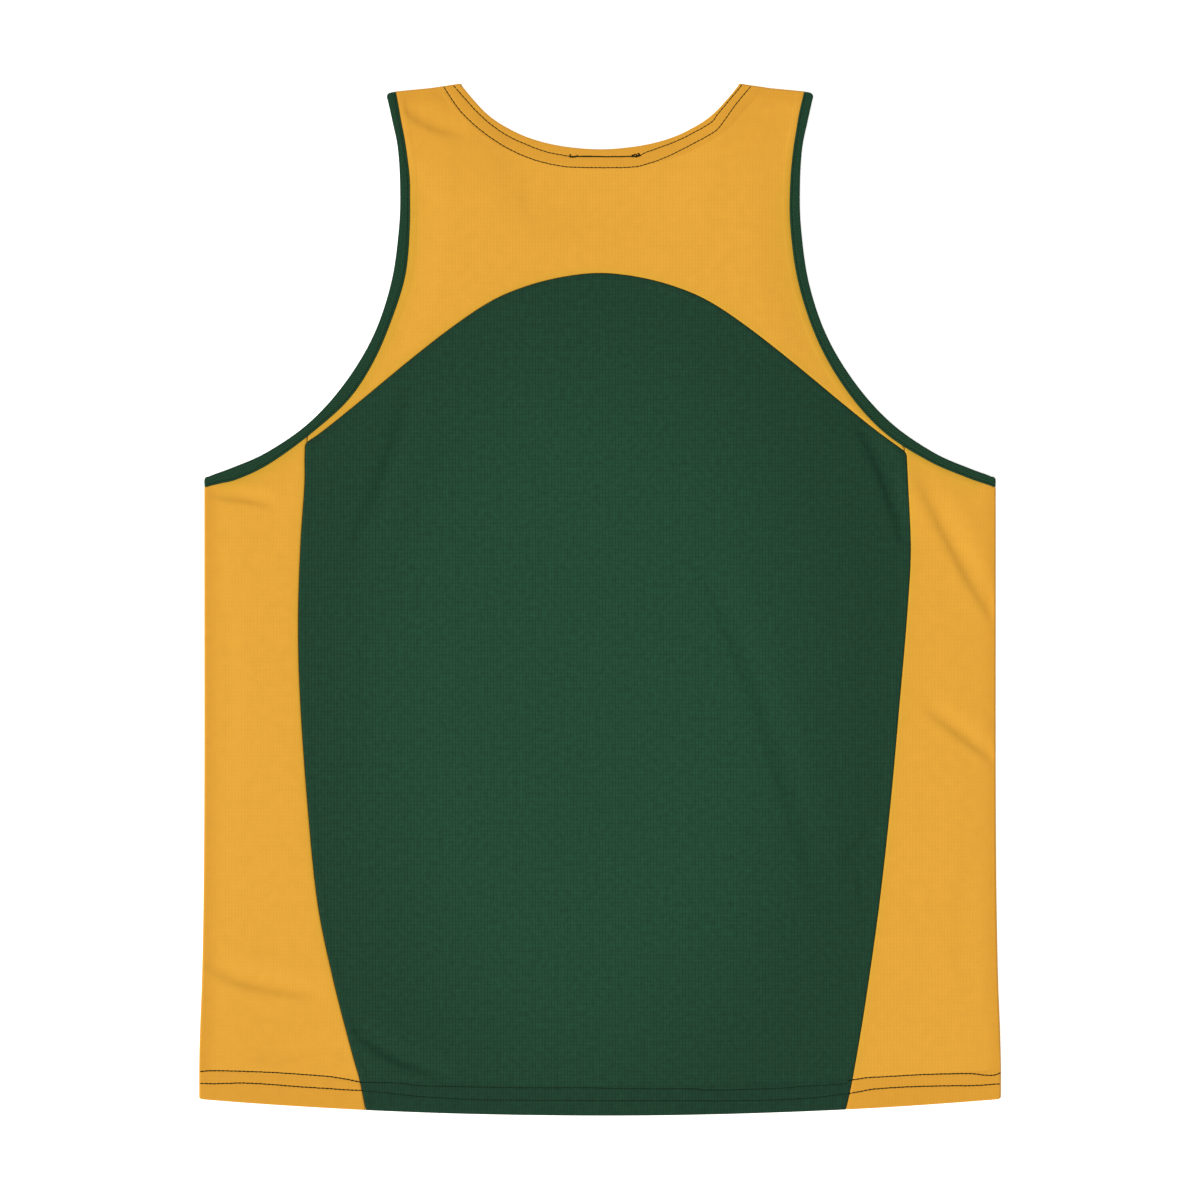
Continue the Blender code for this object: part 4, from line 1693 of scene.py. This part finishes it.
@dataclass
class ArmholeBinding:
    """A strip of rib folded double round an armhole's edge: a ring over both layers."""

    name: str
    side: int
    usual_width: float = 7.0
    station: float = 1.0  # from one section to the next
    slit: float = 0.2  # between its two layers
    lap: float = 0.15  # of the strip over the line that its cloth ends at
    arm_end: float = 0.1  # how far across the slit ends, in shares of the width
    outer_rounding: float = 0.7
    inner_rounding: float = 0.5
    inner_height: float = 0.35  # of its inner edge, in shares of the full height
    crown_fall: float = 0.07  # from its middle to its edges, in shares of its thickness
    stitch_inset: float = 1.7  # from the strip's inner edge
    stitch_pitch: float = 2.1
    stitch_pull: float = 0.08
    stitch_pull_width: float = 0.5
    corner: float = 1.5  # how far in its outer edge's corner rounds off where it turns over
    corner_width: float = 2.4
    corner_run: float = 3.0
    turn_steps: int = 12
    top_across: tuple[float, ...] = (
        0.0, 0.01, 0.03, 0.06, 0.1, 0.16, 0.26, 0.38, 0.5, 0.6, 0.65, 0.69, 0.72,
        0.75, 0.78, 0.81, 0.84, 0.88, 0.93, 0.965, 0.985, 0.996, 1.0,
    )

    def crown(self, across: np.ndarray, wide: float) -> np.ndarray:
        """Give the height of the strip's face over its middle.

        Args:
            across: How far across the strip, in shares of its width.
            wide: Its width there.

        Returns:
            The height, in shares of its thickness.
        """
        outer = np.clip(across * wide / self.outer_rounding, 0, 1)
        inner = np.clip((1 - across) * wide / self.inner_rounding, 0, 1)
        inner_round = np.sqrt(1 - (1 - inner) ** 2)
        low = self.inner_height
        round_off = np.sqrt(1 - (1 - outer) ** 2) * (low + (1 - low) * inner_round)
        swell = 0.5 - self.crown_fall * (2 * across - 1) ** 2
        from_row = (1 - across) * wide - self.stitch_inset
        drawn = self.stitch_pull * np.exp(-((from_row / self.stitch_pull_width) ** 2))
        return swell * round_off - drawn

    def section(self, wide: float) -> np.ndarray:
        """Give the folded strip's section as a closed line of (across, up).

        Args:
            wide: The strip's width there.

        Returns:
            The line's points, in shares.
        """
        across = np.array(self.top_across)
        top = np.stack((across, self.crown(across, wide)), axis=1)
        under = top[1:][::-1] * (1, -1)
        slit = self.slit / 2 / BINDING_THICK
        inside_line = ((1.0, -slit), (0.5, -slit), (self.arm_end, 0.0), (0.5, slit), (1.0, slit))
        return np.vstack((top, inside_line[::-1], under))

    def edges(self, deeper: float, widths: tuple[Width, ...]) -> tuple[np.ndarray, np.ndarray]:
        """Draw the strip's outer and inner edge on one layer, up to where it turns over.

        Args:
            deeper: How much further in the armhole is cut at its middle than the back's.
            widths: How wide the strip is.

        Returns:
            The outer edge and the inner edge.
        """
        reach = TURN_RADIUS + BINDING_THICK / 2
        outer, inner = armhole_edges(deeper, widths, self.station)
        drawn = []
        for edge in (outer, inner):
            top = reach / abs(unit(edge[0] - edge[1]) @ SHOULDER_OUT)
            low = reach / abs(unit(edge[-1] - edge[-2]) @ SIDE_OUT)
            lengths = np.linspace(top, reached(edge)[-1] - low, len(outer))
            drawn.append(at_lengths(edge, lengths))
        return drawn[0], drawn[1] + unit(drawn[1] - drawn[0]) * self.lap

    def stations(self) -> list[tuple[np.ndarray, np.ndarray, np.ndarray, float, float]]:
        """List the stations round the ring.

        Returns:
            For each: outer point, inner point, the way it turns over, how far it has turned,
            and how far it is from where it turns.
        """
        turn = np.linspace(0, np.pi, self.turn_steps + 1)
        back_out, back_in = self.edges(0, BACK_WIDTHS[self.side])
        front_out, front_in = self.edges(FRONT_ARMHOLE_DEEPER, FRONT_WIDTHS)
        found = []
        for outer, inner, angle, order in (
            (back_out, back_in, 0.0, 1),
            (front_out, front_in, np.pi, -1),
        ):
            before = reached(outer)
            half = before[-1] / 2
            run = []
            for o, i, s in zip(outer, inner, before):
                out = SHOULDER_OUT if s < half else SIDE_OUT
                run.append((o, i, out, angle, min(s, before[-1] - s)))
            found.append(run[::order])
        side_turn = [(back_out[-1], back_in[-1], SIDE_OUT, a, 0.0) for a in turn[1:-1]]
        up_turn = [(back_out[0], back_in[0], SHOULDER_OUT, a, 0.0) for a in turn[-2:0:-1]]
        return found[0] + side_turn + found[1] + up_turn

    def build(self) -> bpy.types.Object:
        """Build the strip and its stitching.

        Returns:
            The strip.
        """
        rings, places, wides = [], [], []
        along = 0.0
        last = None
        for outer, inner, out, angle, from_turn in self.stations():
            wide = float(np.linalg.norm(inner - outer))
            section = self.section(wide)
            middle = (outer + inner) / 2
            if last is not None:
                along += max(np.linalg.norm(middle - last), TURN_RADIUS * np.pi / self.turn_steps)
            last = middle
            radius = TURN_RADIUS + section[:, 1] * BINDING_THICK
            flat = outer + (inner - outer) * section[:, :1]
            flat = flat + out * (radius * np.sin(angle))[:, None]
            corner = self.corner * np.clip(1 - section[:, 0] * wide / self.corner_width, 0, 1) ** 2
            flat = flat - out * (corner * np.exp(-from_turn / self.corner_run))[:, None]
            height = BINDING_LEVEL + radius * np.cos(angle)
            rings.append(np.column_stack((flat * (self.side, 1), height)))
            zeros = np.zeros(len(section))
            bias = along + section[:, 0] * wide  # the strip is cut on the bias
            places.append(np.column_stack((bias, section[:, 0] * wide, zeros)))
            wides.append(wide)
        count = len(self.section(1.0))
        faces = []
        for ring in range(len(rings)):
            near, far = ring * count, (ring + 1) % len(rings) * count
            for i in range(count):
                j = (i + 1) % count
                faces.append((near + i, near + j, far + j, far + i))
        piece = new_piece(self.name + "_strip", np.vstack(rings), faces, np.vstack(places))
        dress(piece, GREEN_RIB)
        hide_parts(self.name)
        stitching = self.stitching()
        return piece

    def stitching(self) -> bpy.types.Object:
        """Make the row of stitches near the strip's inner edge, on both layers.

        Returns:
            The stitching.
        """
        made = []
        for deeper, widths, outward in (
            (0.0, BACK_WIDTHS[self.side], 1.0),
            (FRONT_ARMHOLE_DEEPER, FRONT_WIDTHS, -1.0),
        ):
            outer, inner = self.edges(deeper, widths)
            path = (inner + unit(outer - inner) * self.stitch_inset) * (self.side, 1)
            across = np.array([1 - self.stitch_inset / self.usual_width])
            face = self.crown(across, self.usual_width)[0] * BINDING_THICK
            level = BINDING_LEVEL + outward * (TURN_RADIUS + face)
            row = StitchRow(path, pitch=self.stitch_pitch, thread=0.38, gap=0.3, sink=0.04, lift=0.1)
            made.append(row.stitches(lambda points: np.full(len(points), level), outward))
        return joined_stitches(self.name + "_stitching", made)


# The panels


# How wide the second cloth under each is
NECK_BAND = 14.6
HEM_BAND = 21.4
BOUND_BAND = 5.0
BOUND_DROP = 0.12
KNOT_STEP = 0.4
FRONT_NECK_ROWS = (4.9, 13.0)  # in from the edge, like the two below
FRONT_HEM_ROWS = (11.0, 20.0)
FRONT_ROWS_SHORT = 6.5  # of the front's rows of stitches, so that they end on its own cloth
LOW_TINTS = {-1: 0.3, 1: 0.0}  # painted shade: the left side is painted a little darker above its hem


def back_yoke() -> ClothPanel:
    """Lay out the yoke: neck, shoulder and armhole on each side, and the arch below.

    Returns:
        The panel.
    """
    left_in, right_in = (
        split_at(armhole_edges(0, BACK_WIDTHS[side], CLOTH_STEP)[1], SEAM_TOPS[side])[0]
        for side in (-1, 1)
    )
    shoulder = with_close_ends(straight_lines([SHOULDER[0], SHOULDER[1], right_in[0]]))
    arch = across_middle(ARCH, CLOTH_STEP, LEFT_SEAM[:1], RIGHT_SEAM[:1])
    neck = across_middle(BACK_NECK, CLOTH_STEP)
    rows = [StitchRow(smooth_curve(line, CURVE_STEP)) for line in (NECK_INNER_ROW, NECK_OUTER_ROW)]
    rows.append(
        StitchRow(smooth_curve(BAR_ROW, CURVE_STEP), pitch=2.2, thread=0.95, gap=0.1, sink=-0.05)
    )
    for knot in BAR_KNOTS:
        line = smooth_curve(knot, KNOT_STEP)
        rows.append(StitchRow(line, pitch=1.4, thread=0.9, gap=-0.2, sink=-0.25))
    return ClothPanel(
        name="back_yoke",
        stretches=[
            Stretch(neck, Edge.FREE),
            Stretch(shoulder, Edge.FOLD),
            Stretch(right_in, Edge.BOUND),
            joined(right_in[-1], arch[-1]),
            Stretch(arch[::-1], Edge.SEAM),
            joined(arch[0], mirrored(left_in)[-1]),
            Stretch(mirrored(left_in[::-1]), Edge.BOUND),
            Stretch(mirrored(shoulder[::-1]), Edge.FOLD),
        ],
        plies=[
            Ply(neck, NECK_BAND, tint=1.0),
            Ply(right_in, BOUND_BAND, BOUND_DROP),
            Ply(mirrored(left_in), BOUND_BAND, BOUND_DROP),
            # Painted shade along the shoulder folds: dark at the fold, fading down the straps
            tone(shoulder, 7.0, tint=0.9, soft=14.0),
            tone(shoulder, 45.0, tint=0.45, soft=90.0),
            tone(mirrored(shoulder), 7.0, tint=0.8, soft=14.0),
            tone(mirrored(shoulder), 45.0, tint=0.85, soft=90.0),
        ],
        rows=rows,
    )


def back_centre_panel() -> ClothPanel:
    """Lay out the centre panel: hem, right seam, arch and left seam.

    Returns:
        The panel.
    """
    left, right = smooth_curve(LEFT_SEAM, CLOTH_STEP), smooth_curve(RIGHT_SEAM, CLOTH_STEP)
    arch = across_middle(ARCH, CLOTH_STEP, LEFT_SEAM[:1], RIGHT_SEAM[:1])
    hem = hem_curve(-left[-1][0], right[-1][0], CLOTH_STEP)
    return ClothPanel(
        name="back_centre_panel",
        stretches=[
            Stretch(hem, Edge.FREE),
            Stretch(right[::-1], Edge.SEAM),
            Stretch(arch[::-1], Edge.SEAM),
            Stretch(mirrored(left), Edge.SEAM),
        ],
        finish=GREEN_KNIT,
        plies=[
            Ply(hem, HEM_BAND, tint=1.0),
            Ply(arch, 4.4, drop=0.2, run=9.0, tint=0.8),
            Ply(right, 5.5, drop=0.15, run=9.0),
            Ply(mirrored(left), 5.5, drop=0.15, run=9.0),
        ],
        rows=[
            StitchRow(hem_row(spots), pitch=1.9, thread=0.85, gap=0.7)
            for spots in HEM_ROWS[0]
        ],
    )


def side_edge(top: np.ndarray) -> np.ndarray:
    """Give the side's edge from a point at the underarm down to the hem."""
    edge = smooth_curve(SIDE, CLOTH_STEP)
    return np.vstack((top, edge[edge[:, 1] < top[1] - CLOTH_STEP / 3]))


def side_panel(name: str, side: int) -> ClothPanel:
    """Lay out a side panel: hem, side fold, armhole and the seam with the centre panel.

    Args:
        name: The panel's name.
        side: 1 for the right and -1 for the left.

    Returns:
        The panel.
    """
    seam = smooth_curve(SEAMS[side], CLOTH_STEP)
    _, inner = split_at(armhole_edges(0, BACK_WIDTHS[side], CLOTH_STEP)[1], SEAM_TOPS[side])
    edge = with_close_ends(side_edge(inner[-1]))
    hem = hem_curve(seam[-1][0], HEM_HALF, CLOTH_STEP)
    return ClothPanel(
        name=name,
        stretches=[
            Stretch(hem * (side, 1), Edge.FREE),
            Stretch(edge[::-1] * (side, 1), Edge.FOLD),
            Stretch(inner[::-1] * (side, 1), Edge.BOUND),
            joined(inner[0] * (side, 1), seam[0] * (side, 1)),
            Stretch(seam * (side, 1), Edge.SEAM),
        ],
        plies=[
            Ply(hem * (side, 1), HEM_BAND, tint=1.0),
            Ply(inner * (side, 1), BOUND_BAND, BOUND_DROP),
            # Painted shade along the side fold, where the cloth turns away
            tone(edge * (side, 1), 7.5, tint=1.0, soft=15.0),
            # Painted shade over the lower part of the side panel
            tone(hem * (side, 1), 60.0, tint=LOW_TINTS[side], soft=120.0),
        ],
        rows=[StitchRow(hem_row(spots), thread=1.05) for spots in HEM_ROWS[side]],
    )


def front_panel() -> ClothPanel:
    """Lay out the front in one piece: the lower neck, straps, armholes, sides and hem.

    Returns:
        The panel.
    """
    inner = armhole_edges(FRONT_ARMHOLE_DEEPER, FRONT_WIDTHS, CLOTH_STEP)[1]
    shoulder = straight_lines([SHOULDER[0], SHOULDER[1], inner[0]])
    edge = side_edge(inner[-1])
    neck = across_middle(FRONT_NECK, CLOTH_STEP)
    hem = hem_curve(-HEM_HALF, HEM_HALF, CLOTH_STEP)
    neck_line = across_middle(FRONT_NECK, CURVE_STEP)
    row_half = HEM_HALF - FRONT_ROWS_SHORT
    hem_line = hem_curve(-row_half, row_half, CURVE_STEP)
    neck_line = neck_line[neck_line[:, 1] < SHOULDER[0].up - FRONT_ROWS_SHORT]
    lines = [neck_line - left_normals(neck_line) * away for away in FRONT_NECK_ROWS]
    lines += [hem_line + (0, up) for up in FRONT_HEM_ROWS]
    return ClothPanel(
        name="front_panel",
        stretches=[
            Stretch(neck, Edge.FREE),
            Stretch(shoulder, Edge.MEETS),
            Stretch(inner, Edge.BOUND),
            Stretch(edge, Edge.MEETS),
            Stretch(hem[::-1], Edge.FREE),
            Stretch(mirrored(edge[::-1]), Edge.MEETS),
            Stretch(mirrored(inner[::-1]), Edge.BOUND),
            Stretch(mirrored(shoulder[::-1]), Edge.MEETS),
        ],
        layer=FrontLayer(),
        rests_on=(),
        plies=[
            Ply(neck, NECK_BAND, tint=1.0),
            Ply(hem, HEM_BAND, tint=1.0),
            Ply(inner, BOUND_BAND, BOUND_DROP),
            Ply(mirrored(inner), BOUND_BAND, BOUND_DROP),
        ],
        rows=[StitchRow(line, sink=0.36) for line in lines],
        grid=4.2,
    )


# The studio


@dataclass
class Studio:
    """A plain pale floor, soft light and the camera straight above."""

    frame_width: float = 0.864  # of what the picture takes in at the subject's level
    subject_level: float = 0.003
    lens: float = 100.0
    floor_half: float = 12.0
    floor_level: float = -0.0002
    sky: float = 0.42
    key_strength: float = 2.6
    key_spread: float = 22.0  # degrees, as a large softbox far off
    key_place: tuple[float, float, float] = (-2.08, -0.97, 1.93)
    top_power: float = 36.0
    top_size: float = 3.0
    top_height: float = 3.4

    def build(self) -> None:
        """Build the floor, the lights and the camera."""
        self.floor()
        key = bpy.data.lights.new("key_softbox", "SUN")
        key.energy = self.key_strength
        key.angle = float(np.radians(self.key_spread))
        self.hang(key, self.key_place)
        overhead = bpy.data.lights.new("overhead_softbox", "AREA")
        overhead.energy = self.top_power
        overhead.size = self.top_size
        self.hang(overhead, (0.0, 0.0, self.top_height))
        world = bpy.data.worlds.new("white_room")
        world.use_nodes = True
        white = {"Color": (1, 1, 1, 1), "Strength": self.sky}
        add_node(world.node_tree, "Background", white)
        scene = bpy.context.scene
        scene.world = world
        scene.view_settings.view_transform = "Standard"
        scene.camera = self.camera()

    def floor(self) -> None:
        """Lay the floor."""
        half = self.floor_half
        level = self.floor_level
        corners = [(x * half, y * half, level) for x, y in ((-1, -1), (1, -1), (1, 1), (-1, 1))]
        data = bpy.data.meshes.new("studio_floor")
        data.from_pydata(corners, [], [(0, 1, 2, 3)])
        data.materials.append(FloorFinish().material())
        placed("studio_floor", data)

    def hang(self, light: bpy.types.Light, place: tuple[float, float, float]) -> None:
        """Hang a light at a place, facing the garment.

        Args:
            light: The light.
            place: Where it hangs.
        """
        lamp = placed(light.name, light)
        lamp.location = place
        lamp.rotation_euler = (-Vector(place)).to_track_quat("-Z", "Y").to_euler()
        lamp.visible_camera = False

    def camera(self) -> bpy.types.Object:
        """Hang the camera over the garment, looking straight down.

        Returns:
            The camera.
        """
        data = bpy.data.cameras.new("overhead_camera")
        data.lens = self.lens
        camera = placed("overhead_camera", data)
        away = self.frame_width * self.lens / data.sensor_width
        camera.location = (0.0, 0.0, self.subject_level + away)
        return camera


def main() -> None:
    """Build the garment and the studio."""
    logging.basicConfig(level=logging.INFO, format="%(name)s: %(message)s")
    for old in list(bpy.data.objects):
        bpy.data.objects.remove(old)
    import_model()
    panels = (
        front_panel(),
        side_panel("side_panel_left", -1),
        side_panel("side_panel_right", 1),
        back_centre_panel(),
        back_yoke(),
    )
    for panel in panels:
        panel.build()
    for name, side in (("armhole_binding_left", -1), ("armhole_binding_right", 1)):
        ArmholeBinding(name, side).build()
    Studio().build()


if __name__ == "__main__":
    main()
